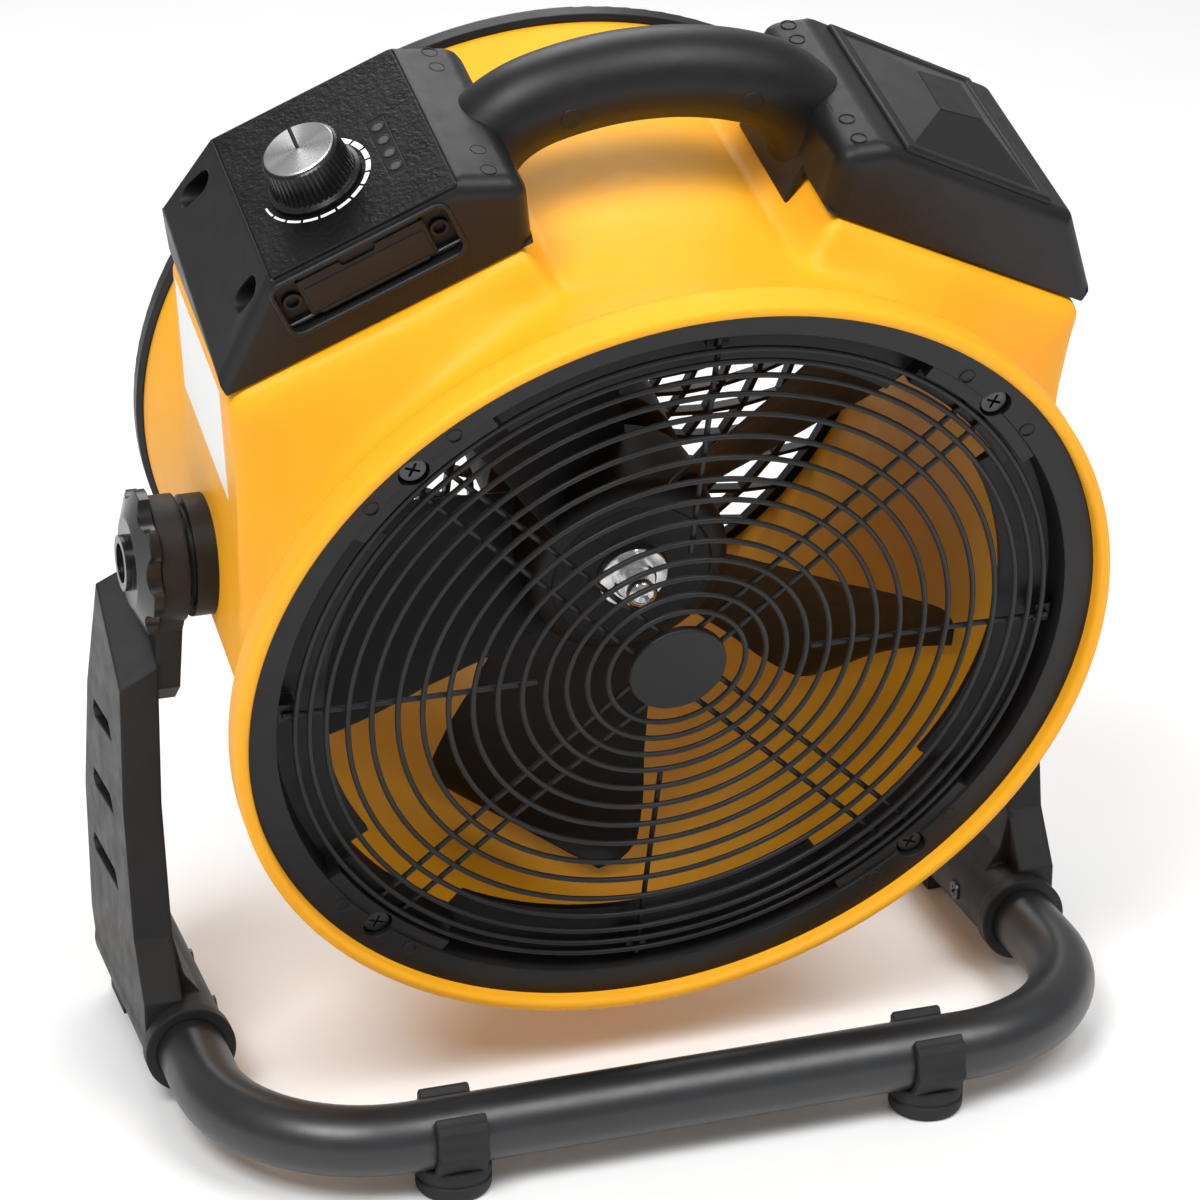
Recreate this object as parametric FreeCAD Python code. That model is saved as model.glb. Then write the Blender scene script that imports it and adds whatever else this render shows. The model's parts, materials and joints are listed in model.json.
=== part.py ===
"""Portable axial air mover: a tilting drum fan on a U-shaped tube stand.

Row frame: +Z up, air leaves towards -Y, +X is the viewer's right seen from the
front, origin on the floor under the middle of the bounding box.  The head is
modelled in its own frame (Y is the fan axis, 0 at the front rim, +Y backwards)
and then tilted about the pivot axis, which is parallel to X.
"""
import FreeCAD, Part
import math
import os
from FreeCAD import Vector

# ---------------------------------------------------------------- driving sizes
TILT_DEG = 17.2            # the head's fan axis points this far below level at rest
PIVOT_Z = 246.0            # pivot axis above the floor
PIVOT_DEPTH = 120.0        # pivot axis behind the front rim
PIVOT_Y = 2.3              # row Y of the pivot axis, which centres the bounding box

RIM_R = 190.0              # yellow front rim, outside
RIM_IN_R = 184.0           # yellow front rim, inside
RIM_BAND = 17.0            # length of the rim's round band
DRUM_R = 171.0             # outside of the drum
DUCT_R = 167.5             # inside of the drum
DRUM_REAR_R = 177.0        # outside of the drum at its rear edge
DRUM_REAR_Y = 229.0
WALL = 3.0
POD_WALL = 3.6             # thicker than the rest, so that the hollow meets the drum at an angle
HEAD_DEPTH = 238.0

POD_FRONT = 64.0           # pods and boxes run from here ...
POD_REAR = 166.0           # ... to here along the fan axis
BOX_OUT = (183.0, 125.0)   # outer lower corner of a top box (x, z)
BOX_IN = (61.0, 184.5)     # inner lower corner of a top box
POD_SIDE = (175.5, 55.0)   # lower end of the flat under a box (x, z)
PANEL_OUT = (168.0, 179.0)  # outer edge of the sloping top face
PANEL_IN = (94.0, 215.6)   # inner edge of the sloping top face
PANEL_LEN = 83.0           # length of the control panel along Y
PANEL_T = 2.0

WIRE_D = 2.4               # front grille wire
GRILLE_Y = 10.2            # centre of the ring wires
RING_RADII = (30, 39, 48, 57, 67, 77.5, 88, 98.5, 109.5, 120, 131, 141, 150, 157, 163)
PAIR_GAP = 7.0             # half the distance between the paired radial wires

HUB_R = 45.0
HUB_FRONT = 72.0
HUB_REAR = 118.0
BLADE_TIP_R = 159.0
BLADE_COUNT = 5
BLADE_START_DEG = 42.4     # middle of the first blade, from +X
BLADE_T = 3.0
BLADE_SECTIONS = (         # radius, half width, front edge y, rear edge y
    (34.0, 24.0, 76.0, 112.0),
    (75.0, 31.0, 70.0, 111.0),
    (115.0, 39.5, 64.0, 110.0),
    (162.0, 42.0, 58.0, 109.0),
)

SHAFT_R = 4.0
RUN_GAP = 0.05             # radial running clearance
BEARING_R = 11.0
MOTOR_R = 44.0
MOTOR_SCREWS = ((24.0, 24.0), (-24.0, 24.0), (-24.0, -24.0), (24.0, -24.0))   # x, z

KNOB_ACROSS = 32.0         # knob centre on the panel, from its front outer corner
KNOB_ALONG = 43.5
KNOB_BASE_R = 19.5
KNOB_CAP_R = 15.0
KNOB_H = 18.0

PORT_ACROSS = (-1.5, 72.5)  # port recess in the control box's front face
PORT_HEIGHT = (-29.0, -4.5)
PORT_MID = -17.5           # height of both inlets below the panel
USB_ACROSS = 19.0
DC_ACROSS = 55.0
DOOR_ACROSS = (8.0, 63.0)  # hinged cover over the inlets
DOOR_HEIGHT = (-27.5, -6.0)
DOOR_Y = (1.2, 3.6)
HINGE_R = 1.4
BOX_SCREW_ALONG = (12.0, 84.0)
BOX_SCREW_Z = 163.0
BOX_SCREW_SEAT = 166.0     # |x| of the seat under a box screw's head
COVER_DROP = 7.0           # the battery box's rim lies this far below the panel's level

TUBE_R = 15.0
TUBE_WALL = 1.5
TUBE_X = 196.5             # the tube's legs
TUBE_FRONT = -131.0        # the tube's front run, from the pivot
TUBE_Z = 26.5
BEND_R = 72.0
SLEEVE_R = 18.5
MOUTH_Y = -27.0            # where the tube leaves the arm
ARM_REAR = 92.0
ARM_OUT = 214.5            # outer face of a stand arm
ARM_IN = 197.5             # inner face of a stand arm below its shoulder
BOSS_OUT = 198.0           # outer face of the pivot boss
BOSS_IN = 187.0            # inner face of the pivot boss
BOSS_R = 27.0
FOOT_X = 107.3
HANDLE_R = 18.5
HANDLE_Y = 119.0           # the handle's middle behind the front rim
HANDLE_TOP = 222.0         # the handle's centre line above the fan axis
BOLT_R = 5.0
ARM_SCREW_Y = (6.0, 52.0)
LABEL_Y = (78.0, 160.0)    # blank label on the left pod's side
LABEL_Z = (60.0, 116.0)

SLOPE = math.atan2(PANEL_IN[1] - PANEL_OUT[1], PANEL_OUT[0] - PANEL_IN[0])
PANEL_W = math.hypot(PANEL_IN[0] - PANEL_OUT[0], PANEL_IN[1] - PANEL_OUT[1])
X_AXIS = Vector(1, 0, 0)
Y_AXIS = Vector(0, 1, 0)
Z_AXIS = Vector(0, 0, 1)
ORIGIN = Vector(0, 0, 0)


# ---------------------------------------------------------------- shape helpers
def wire(place, start, *steps):
    """A closed wire of 2-D points; a step is an end point or a (middle, end) arc."""
    edges = []
    here = start
    for step in steps + (start,):
        if isinstance(step[0], tuple):
            middle, end = step
            edges.append(Part.Arc(place(*here), place(*middle), place(*end)).toShape())
        elif step != here:
            end = step
            edges.append(Part.LineSegment(place(*here), place(*end)).toShape())
        here = end
    return Part.Wire(edges)


def turned(*outline):
    """Turn an outline of (radius, y) about the fan axis."""
    face = Part.Face(wire(lambda r, y: Vector(r, y, 0), *outline))
    return face.revolve(ORIGIN, Y_AXIS, 360)


def plate_y(y0, y1, *outline):
    """Extrude an outline of (x, z) along Y."""
    face = Part.Face(wire(lambda x, z: Vector(x, y0, z), *outline))
    return face.extrude(Vector(0, y1 - y0, 0))


def plate_x(x0, x1, *outline):
    """Extrude an outline of (y, z) along X."""
    face = Part.Face(wire(lambda y, z: Vector(x0, y, z), *outline))
    return face.extrude(Vector(x1 - x0, 0, 0))


def rod(p0, p1, radius):
    axis = p1.sub(p0)
    return Part.makeCylinder(radius, axis.Length, p0, axis)


def rod_y(radius, y0, y1, x=0.0, z=0.0):
    return rod(Vector(x, y0, z), Vector(x, y1, z), radius)


def ring_y(r_in, r_out, y0, y1, x=0.0, z=0.0):
    return rod_y(r_out, y0, y1, x, z).cut(rod_y(r_in, y0 - 1, y1 + 1, x, z))


def polar(radius, degrees, y):
    angle = math.radians(degrees)
    return Vector(radius * math.cos(angle), y, radius * math.sin(angle))


def sector(r_in, r_out, y0, y1, middle_deg, half_deg):
    """Part of a flat ring about the fan axis, centred on an angle seen from the front."""
    body = ring_y(r_in, r_out, y0, y1)
    reach = 2 * r_out
    tip = polar(0, 0, y0 - 1)
    left = polar(reach, middle_deg + half_deg, y0 - 1)
    right = polar(reach, middle_deg - half_deg, y0 - 1)
    wedge = Part.Face(Part.makePolygon([tip, right, left, tip]))
    return body.common(wedge.extrude(Vector(0, y1 - y0 + 2, 0)))


def mirrored(shape):
    return shape.mirror(ORIGIN, X_AXIS)


def fused(shapes):
    return shapes[0].multiFuse(shapes[1:]).removeSplitter()


def softened(shape, radius, wanted):
    """Round the edges that the test picks."""
    return shape.makeFillet(radius, [edge for edge in shape.Edges if wanted(edge)])


def pan_screw(head_at, inward, head_r, head_h, shank_r, shank_len):
    """A cross-head screw: the head's underside is at head_at, the shank runs inward."""
    axis = Vector(inward).normalize()
    top = head_at.sub(axis * head_h)
    head = rod(head_at, top, head_r)
    shank = rod(head_at, head_at + axis * shank_len, shank_r)
    side = axis.cross(Vector(0.31, 0.52, 0.8)).normalize()
    other = axis.cross(side)
    body = head.fuse(shank)
    for across, along in ((side, other), (other, side)):
        slot = Part.Face(Part.makePolygon([
            top + across * (head_r * 0.62) + along * 0.55,
            top + across * (head_r * 0.62) - along * 0.55,
            top - across * (head_r * 0.62) - along * 0.55,
            top - across * (head_r * 0.62) + along * 0.55,
            top + across * (head_r * 0.62) + along * 0.55]))
        body = body.cut(slot.extrude(axis * (head_h * 0.6)))
    return body


# ---------------------------------------------------------------- top box frames
def on_panel(across, along, height):
    """A point on the left box: across and along the sloping face, height above it."""
    return Vector(-PANEL_OUT[0] + across * math.cos(SLOPE) - height * math.sin(SLOPE),
                  POD_FRONT + along,
                  PANEL_OUT[1] + across * math.sin(SLOPE) + height * math.cos(SLOPE))


PANEL_UP = Vector(-math.sin(SLOPE), 0, math.cos(SLOPE))
PANEL_ACROSS = Vector(math.cos(SLOPE), 0, math.sin(SLOPE))


def panel_block(across, along, height):
    """A block aligned with the sloping face; each argument is a (low, high) pair."""
    corner = on_panel(across[0], along[0], height[0])
    base = Part.Face(Part.makePolygon([
        corner,
        corner + PANEL_ACROSS * (across[1] - across[0]),
        corner + PANEL_ACROSS * (across[1] - across[0]) + Y_AXIS * (along[1] - along[0]),
        corner + Y_AXIS * (along[1] - along[0]),
        corner]))
    return base.extrude(PANEL_UP * (height[1] - height[0]))


def panel_rod(across, along, low, high, radius):
    return rod(on_panel(across, along, low), on_panel(across, along, high), radius)


# ---------------------------------------------------------------- head shell
def pod(inset, y0, y1):
    """Squared shoulder under a top box, with the flat side that carries the pivot."""
    top = inset / math.cos(SLOPE)
    outline = [(BOX_IN[0] + inset, BOX_IN[1] - top - inset * 0.5),
               (BOX_OUT[0] - inset, BOX_OUT[1] - top),
               (POD_SIDE[0] - inset, POD_SIDE[1]),
               (174.0 - inset, 25.0),
               (174.0 - inset, -26.0 + inset),
               (152.0 - inset, -58.0 + inset),
               (60.0, -40.0),
               (52.0 + inset, 158.0)]
    return plate_y(y0, y1, *outline)


def pod_nose(inset):
    """Clips the pods in front, where they slope down to the valley behind the rim."""
    front = POD_FRONT + inset
    return plate_x(30, 200, (34 + inset, -70), (POD_REAR + 5, -70), (POD_REAR + 5, 205), (front, 205),
                   (front - 4, 192), (36 + inset, 171), (34 + inset, 0))


def drum_housing():
    drum = turned((RIM_IN_R, 3.0), ((184.9, 0.9), (187.0, 0.0)), ((189.1, 0.9), (RIM_R, 3.0)),
                  (RIM_R, 14.0), ((189.1, 16.1), (187.0, RIM_BAND)), ((176.4, 24.5), (DRUM_R + 1, 44.0)),
                  (DRUM_R, 62.0), (DRUM_R, 175.0), ((172.8, 202.0), (DRUM_REAR_R, 224.0)),
                  (DRUM_REAR_R, DRUM_REAR_Y), (DUCT_R, DRUM_REAR_Y), (DUCT_R, 27.0), (170.0, 27.0),
                  (RIM_IN_R, 9.5))
    duct = rod_y(DUCT_R + 1.5, 20, DRUM_REAR_Y + 5)
    inner_drum = rod_y(DRUM_R, 20, DRUM_REAR_Y + 5)
    for flip in (False, True):
        outside = pod(0, 30, POD_REAR).common(pod_nose(0)).cut(duct)
        inside = pod(POD_WALL, 30, POD_REAR - WALL).common(pod_nose(WALL + 1)).cut(inner_drum)
        hatch = pod(10, POD_FRONT + 10, POD_REAR - 10).cut(inner_drum)
        hatch.translate(Vector(4, 0, 10))
        shapes = [outside, inside, hatch]
        if flip:
            shapes = [mirrored(shape) for shape in shapes]
        drum = drum.fuse(shapes[0]).cut(shapes[1]).cut(shapes[2])
        side = -1 if flip else 1
        drum = drum.fuse(rod(Vector(side * 158, PIVOT_DEPTH, 0), Vector(side * 174, PIVOT_DEPTH, 0), 20)
                         .cut(rod_y(DUCT_R + 0.5, 20, 230)))
        drum = drum.cut(rod(Vector(side * 150, PIVOT_DEPTH, 0), Vector(side * 180, PIVOT_DEPTH, 0), 9.0))
    for angle in (45, 135, 225, 315):
        drum = drum.cut(rod(polar(172.53, angle, 8), polar(172.53, angle, 33), 2.0))
    return drum.removeSplitter()


def front_ring():
    ring = turned((RIM_IN_R - 0.2, 6.5), (171.5, 7.5), (169.5, 21.0), (148.0, 22.0), (148.0, 25.0),
                  (170.0, 26.8), (RIM_IN_R - 0.2, 9.6))
    for angle in (45, 135, 225, 315):
        ring = ring.cut(sector(140, 158, 20, 30, angle, 12.5))
        ring = ring.fuse(sector(158, 165.5, 14, 24, angle, 12.5))
        ring = ring.fuse(sector(165.5, 171.2, 8.5, 24, angle, 12.5))
    for angle in (0, 90, 180, 270):
        ring = ring.fuse(sector(162.5, 169.6, 13.8, 22.5, angle, 1.6))
    for angle in (45, 135, 225, 315):
        ring = ring.cut(rod(polar(172.53, angle, 0), polar(172.53, angle, 13.0), 6.6))
        ring = ring.cut(rod(polar(172.53, angle, 0), polar(172.53, angle, 40.0), 2.0))
    return ring.removeSplitter()


def front_grille():
    wire_r = WIRE_D / 2
    wires = [Part.makeTorus(radius, wire_r, Vector(0, GRILLE_Y, 0), Y_AXIS) for radius in RING_RADII]
    back = GRILLE_Y + WIRE_D
    for angle in (45, 135, 225, 315):
        along = polar(1, angle, 0)
        across = polar(1, angle + 90, 0)
        for side in (-PAIR_GAP, PAIR_GAP):
            start = along * 17.0 + across * side + Y_AXIS * back
            wires.append(rod(start, start + along * 147.6, wire_r))
    for angle in (0, 90, 180, 270):
        wires.append(rod(polar(60, angle, back), polar(168, angle, back), wire_r))
    return Part.makeCompound(wires)


def grille_badge():
    disc = turned((0, 7.2), ((12.0, 7.45), (20.0, 8.0)), ((21.0, 8.4), (21.3, 9.4)), (21.3, 11.4), (0, 11.4))
    for angle in (45, 135, 225, 315):
        along = polar(1, angle, 0)
        across = polar(1, angle + 90, 0)
        for side in (-PAIR_GAP, PAIR_GAP):
            start = along * 17.0 + across * side + Y_AXIS * (GRILLE_Y + WIRE_D)
            disc = disc.cut(rod(start, start + along * 10, WIRE_D / 2))
    return disc


def grille_screws():
    screws = []
    for angle in (45, 135, 225, 315):
        screws.append(pan_screw(polar(172.53, angle, 13.0), Y_AXIS, 5.4, 3.2, 2.0, 15.0))
    return Part.makeCompound(screws)


# ---------------------------------------------------------------- rear guard and motor
def rear_guard():
    rim = turned((DUCT_R + 0.3, DRUM_REAR_Y), (DRUM_REAR_R + 0.5, DRUM_REAR_Y), (180.0, DRUM_REAR_Y + 1.5),
                 (180.0, HEAD_DEPTH - 2), ((179.4, HEAD_DEPTH - 0.6), (178.0, HEAD_DEPTH)),
                 (170.0, HEAD_DEPTH), (DUCT_R + 0.3, HEAD_DEPTH - 2))
    disc = rod_y(DUCT_R + 1.0, 230.5, 235.5)
    ring_edges = [54.0 + 16.0 * step for step in range(8)]
    cells = []
    count = 40
    for inner, outer in zip(ring_edges[:-1], ring_edges[1:]):
        for index in range(count):
            base = 360.0 / count * index
            lean = 0.28
            gap_in = math.degrees(2.6 / inner)
            gap_out = math.degrees(2.6 / outer)
            step = 360.0 / count
            low, high = inner + 1.3, outer - 1.3
            corners = [polar(low, base + lean * low, 229), polar(low, base + lean * low + step - gap_in, 229),
                       polar(high, base + lean * high + step - gap_out, 229), polar(high, base + lean * high, 229)]
            cell = Part.Face(Part.makePolygon(corners + corners[:1])).extrude(Vector(0, 8, 0))
            cells.append(cell)
    guard = disc.cut(Part.makeCompound(cells)).fuse(rim)
    for x, z in MOTOR_SCREWS:
        guard = guard.cut(rod_y(2.0, 225, 240, x, z))
    return guard


def motor_screws():
    return Part.makeCompound([pan_screw(Vector(x, 235.5, z), Vector(0, -1, 0), 4.5, 2.5, 2.0, 11.0)
                              for x, z in MOTOR_SCREWS])


def motor_housing():
    can = turned((6.0, 134.0), (30.0, 134.0), ((38.0, 135.5), (MOTOR_R, 142.0)), (MOTOR_R, 222.0),
                 (40.0, 222.0), (40.0, 138.5), (14.0, 138.5), (14.0, 148.0), (BEARING_R, 148.0),
                 (BEARING_R, 138.0), (6.0, 138.0))
    return can


def motor_end_cover():
    cover = turned((6.0, 226.0), (6.0, 220.5), (BEARING_R, 220.5), (BEARING_R, 211.0), (14.0, 211.0),
                   (14.0, 222.0), (49.0, 222.0), (49.0, 230.5), (6.0, 230.5))
    for x, z in MOTOR_SCREWS:
        cover = cover.cut(rod_y(2.0, 224.5, 235, x, z))
    return cover


def motor_bearings():
    return Part.makeCompound([ring_y(SHAFT_R + RUN_GAP, BEARING_R, 138.5, 147.5),
                              ring_y(SHAFT_R + RUN_GAP, BEARING_R, 211.5, 220.0)])


def motor_stator():
    yoke = ring_y(34.0, 40.0, 160, 198)
    parts = [yoke]
    for index in range(9):
        tooth = Part.makeBox(9.0, 38.0, 6.0, Vector(27.5, 160, -3.0))
        tooth.rotate(ORIGIN, Y_AXIS, index * 40.0)
        parts.append(tooth)
    return fused(parts)


def motor_rotor():
    return ring_y(SHAFT_R, 26.5, 156, 202)


def motor_shaft():
    return rod_y(SHAFT_R, 60, 221.5)


# ---------------------------------------------------------------- impeller
def blade():
    """One swept paddle, centred on +X, its counter-clockwise edge nearer the front."""
    sections = []
    camber = 5.0
    for radius, half, front, rear in BLADE_SECTIONS:
        middle = (front + rear) / 2.0 + camber
        slope_x = BLADE_T * 0.42
        slope_y = BLADE_T * 0.9
        lead = Vector(radius, front, half)
        trail = Vector(radius, rear, -half)
        offset = Vector(0, slope_y, slope_x)
        near = Part.Arc(lead, Vector(radius, middle, 0), trail).toShape()
        far = Part.Arc(trail + offset, Vector(radius, middle, 0) + offset, lead + offset).toShape()
        sections.append(Part.Wire([near, Part.LineSegment(trail, trail + offset).toShape(), far,
                                   Part.LineSegment(lead + offset, lead).toShape()]))
    loft = Part.makeLoft(sections, True, False)
    return loft.common(rod_y(BLADE_TIP_R, 40, 140))


def fan_blade():
    hub = turned((30.0, HUB_FRONT), (38.0, HUB_FRONT + 0.5), ((43.2, HUB_FRONT + 2.5), (HUB_R, HUB_FRONT + 8)),
                 (HUB_R, HUB_REAR), (HUB_R - WALL, HUB_REAR), (HUB_R - WALL, HUB_FRONT + 9),
                 (37.0, HUB_FRONT + WALL), (14.0, HUB_FRONT + WALL), (14.0, HUB_REAR - 4), (SHAFT_R, HUB_REAR - 4),
                 (SHAFT_R, HUB_FRONT))
    core = rod_y(HUB_R - 1, 40, 140)
    one = blade().cut(core)
    parts = [hub]
    for index in range(BLADE_COUNT):
        turn = one.copy()
        turn.rotate(ORIGIN, Y_AXIS, -(BLADE_START_DEG + index * 360.0 / BLADE_COUNT))
        parts.append(turn)
    return fused(parts)


def shaft_collar():
    return turned((SHAFT_R, 66.0), (8.5, 66.0), (9.5, 67.0), (9.5, 69.0), (15.0, 69.0), (15.5, 69.6),
                  (15.5, HUB_FRONT), (SHAFT_R, HUB_FRONT))


def hub_nut():
    nut = turned((0, 55.0), ((4.5, 55.5), (7.0, 58.0)), (7.0, 66.0), (SHAFT_R, 66.0), (SHAFT_R, 60.0), (0, 60.0))
    socket = Part.Face(Part.makePolygon([polar(2.4, 60 * index, 54) for index in range(7)]))
    return nut.cut(socket.extrude(Vector(0, 4.5, 0)))


# ---------------------------------------------------------------- control box (left)
def box_body(inset):
    """The control box's solid outline, inset all round; its bottom follows the pod."""
    top = inset / math.cos(SLOPE)
    front_out = (-187.0 + inset, 133.0)
    rear_out = (-187.0 + inset, 149.0)
    sections = []
    for y, bulge in ((POD_FRONT + inset, front_out), (POD_REAR - inset, rear_out)):
        points = [(-BOX_OUT[0] + inset, BOX_OUT[1] - (0 if inset == 0 else 5)), bulge,
                  (-PANEL_OUT[0] + inset * 0.3, PANEL_OUT[1] - top),
                  (-PANEL_IN[0], PANEL_IN[1] - top), (-72.5 - inset, 214.5 - inset),
                  (-BOX_IN[0] - inset, BOX_IN[1] - (0 if inset == 0 else -5))]
        ring = [Vector(x, y, z) for x, z in points]
        sections.append(Part.makePolygon(ring + ring[:1]))
    return Part.makeLoft(sections, True, True)


def box_shell():
    """Outer skin shared by both top boxes, in the left box's place."""
    shell = softened(box_body(0), 3.5, lambda edge: edge.BoundBox.YLength > 50 and edge.BoundBox.ZMax > 170)
    below = plate_y(POD_FRONT + WALL, POD_REAR - WALL, (-BOX_OUT[0] + 4, BOX_OUT[1] - 8),
                    (-BOX_OUT[0] + 4, BOX_OUT[1] + 8), (-BOX_IN[0] - 4, BOX_IN[1] + 6),
                    (-BOX_IN[0] - 4, BOX_IN[1] - 10))
    return shell.cut(box_body(WALL)).cut(below)


def with_screw_posts(box):
    """Add two posts behind the outer facet, each with a deep pocket for its screw."""
    body = box_body(0)
    seat = BOX_SCREW_SEAT
    for along in BOX_SCREW_ALONG:
        outer, post_end, hole_end, floor = [Vector(-x, POD_FRONT + along, BOX_SCREW_Z)
                                            for x in (200.0, seat - 4.0, seat - 5.0, seat)]
        box = box.fuse(rod(outer, post_end, 8.0).common(body))
        box = box.cut(rod(outer, floor, 6.0)).cut(rod(outer, hole_end, 2.0))
    return box


def control_box():
    box = box_shell()
    box = box.cut(panel_block((0.8, PANEL_W - 0.8), (0.8, PANEL_LEN), (-PANEL_T, 5)))
    box = box.fuse(panel_block((PORT_ACROSS[0] - 2, PORT_ACROSS[1] + 2), (0.4, 7.0),
                               (PORT_HEIGHT[0] - 2, PORT_HEIGHT[1] + 0.5)))
    box = box.cut(panel_block(PORT_ACROSS, (-3, 4.5), PORT_HEIGHT))
    box = box.cut(panel_block((USB_ACROSS - 7, USB_ACROSS + 7), (-3, 9), (PORT_MID - 3.5, PORT_MID + 3.5)))
    box = box.cut(rod(on_panel(DC_ACROSS, -3, PORT_MID), on_panel(DC_ACROSS, 9, PORT_MID), 5.5))
    for across in (3.5, 67.5):
        box = box.fuse(rod(on_panel(across, 1.8, -16.5), on_panel(across, 6, -16.5), 2.6))
    box = with_screw_posts(box)
    box = box.cut(panel_rod(KNOB_ACROSS, KNOB_ALONG, -30, 5, 12.0))
    box = box.cut(panel_block((56, 70), (22, 66), (-9, 5)))
    return box.removeSplitter()


def control_panel():
    panel = panel_block((1.0, PANEL_W - 1.0), (1.0, PANEL_LEN - 0.2), (-PANEL_T, 0))
    panel = panel.cut(panel_rod(KNOB_ACROSS, KNOB_ALONG, -5, 5, 4.5))
    return panel.cut(panel_block((59.0, 67.0), (24.0, 62.5), (-5, 5)))


def indicator_window():
    return panel_block((59.0, 67.0), (24.0, 62.5), (-PANEL_T, -0.3))


def indicator_leds():
    return Part.makeCompound([panel_rod(63.0, 29.5 + 9.1 * index, -6.5, -PANEL_T, 2.2) for index in range(4)])


def control_board():
    board = panel_block((8, 76), (20, 70), (-26, -24.4))
    return board.cut(panel_rod(KNOB_ACROSS, KNOB_ALONG, -30, -20, 7.0))


def indicator_board():
    return panel_block((57, 69), (25, 62), (-8.1, -6.5))


def potentiometer():
    body = panel_rod(KNOB_ACROSS, KNOB_ALONG, -13, -PANEL_T, 9.0)
    neck = panel_rod(KNOB_ACROSS, KNOB_ALONG, -PANEL_T - 0.5, 3.0, 4.5)
    nut = panel_rod(KNOB_ACROSS, KNOB_ALONG, 0, 2.0, 7.0)
    bore = panel_rod(KNOB_ACROSS, KNOB_ALONG, -11, 6, 3.0 + RUN_GAP)
    return fused([body, neck, nut]).cut(bore)


def knob_shaft():
    return panel_rod(KNOB_ACROSS, KNOB_ALONG, -10.5, 12.0, 3.0)


def about_knob(*outline):
    """Turn an outline of (radius, height above the panel) about the knob's axis."""
    foot = on_panel(KNOB_ACROSS, KNOB_ALONG, 0)
    face = Part.Face(wire(lambda r, h: foot + PANEL_ACROSS * r + PANEL_UP * h, *outline))
    return face.revolve(foot, PANEL_UP, 360)


def speed_knob():
    skirt = about_knob((3.0, 12.0), (3.0, 4.5), (8.0, 4.5), (8.0, 0.5), (17.5, 0.5), (KNOB_BASE_R, 0.5),
                       (KNOB_BASE_R, 2.0), (17.9, 2.6), (16.0, KNOB_H - 1.6), (KNOB_CAP_R, KNOB_H - 1.0),
                       (KNOB_CAP_R - 0.4, KNOB_H - 1.0), (KNOB_CAP_R - 0.4, KNOB_H - 2.2), (0, KNOB_H - 2.2),
                       (0, 12.0))
    grooves = []
    for index in range(48):
        groove = rod(on_panel(0, 0, 0), on_panel(0, 0, 16), 0.45)
        foot = on_panel(0, 0, 0)
        groove.translate(on_panel(KNOB_ACROSS, KNOB_ALONG, 3.0) - foot + PANEL_ACROSS * 17.7)
        groove.rotate(on_panel(KNOB_ACROSS, KNOB_ALONG, 3.0) + PANEL_ACROSS * 17.7, Y_AXIS, -6.8)
        groove.rotate(on_panel(KNOB_ACROSS, KNOB_ALONG, 0), PANEL_UP, 7.5 * index)
        grooves.append(groove)
    return skirt.cut(Part.makeCompound(grooves))


def knob_cap():
    return about_knob((0, KNOB_H - 2.2), (KNOB_CAP_R - 0.4, KNOB_H - 2.2), (KNOB_CAP_R - 0.4, KNOB_H - 0.4),
                      (KNOB_CAP_R - 0.9, KNOB_H), (0, KNOB_H))


def port_cover():
    door = panel_block(DOOR_ACROSS, DOOR_Y, (DOOR_HEIGHT[0] + 1.4, DOOR_HEIGHT[1]))
    barrel_at = (DOOR_Y[0] + DOOR_Y[1]) / 2
    low = DOOR_HEIGHT[0] + HINGE_R
    barrel = rod(on_panel(DOOR_ACROSS[0] + 4, barrel_at, low), on_panel(DOOR_ACROSS[1] - 4, barrel_at, low), HINGE_R)
    door = door.fuse(barrel)
    door = door.cut(panel_block((27, 42), (-1, 2.6), (-10.5, -3)))
    bore = rod(on_panel(DOOR_ACROSS[0] - 1, barrel_at, low), on_panel(DOOR_ACROSS[1] + 1, barrel_at, low),
               0.7 + RUN_GAP)
    return door.cut(bore)


def port_cover_pin():
    low = DOOR_HEIGHT[0] + HINGE_R
    barrel_at = (DOOR_Y[0] + DOOR_Y[1]) / 2
    return rod(on_panel(PORT_ACROSS[0], barrel_at, low), on_panel(PORT_ACROSS[1], barrel_at, low), 0.7)


def usb_port():
    shell = panel_block((USB_ACROSS - 7, USB_ACROSS + 7), (4.6, 20), (PORT_MID - 3.5, PORT_MID + 3.5))
    shell = shell.cut(panel_block((USB_ACROSS - 6.2, USB_ACROSS + 6.2), (2, 17), (PORT_MID - 2.6, PORT_MID + 2.6)))
    tongue = panel_block((USB_ACROSS - 5.2, USB_ACROSS + 5.2), (7, 18), (PORT_MID + 0.3, PORT_MID + 2.0))
    return shell.fuse(tongue)


def dc_jack():
    start, end = on_panel(DC_ACROSS, 4.6, PORT_MID), on_panel(DC_ACROSS, 20, PORT_MID)
    body = rod(start, end, 5.5).cut(rod(start - Y_AXIS, on_panel(DC_ACROSS, 16, PORT_MID), 3.2))
    return body.fuse(rod(on_panel(DC_ACROSS, 6.5, PORT_MID), on_panel(DC_ACROSS, 17, PORT_MID), 1.05))


def box_screws(side):
    screws = [pan_screw(Vector(side * BOX_SCREW_SEAT, POD_FRONT + along, BOX_SCREW_Z), Vector(-side, 0, 0),
                        4.5, 2.5, 2.0, 3.6) for along in BOX_SCREW_ALONG]
    return Part.makeCompound(screws)


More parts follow.
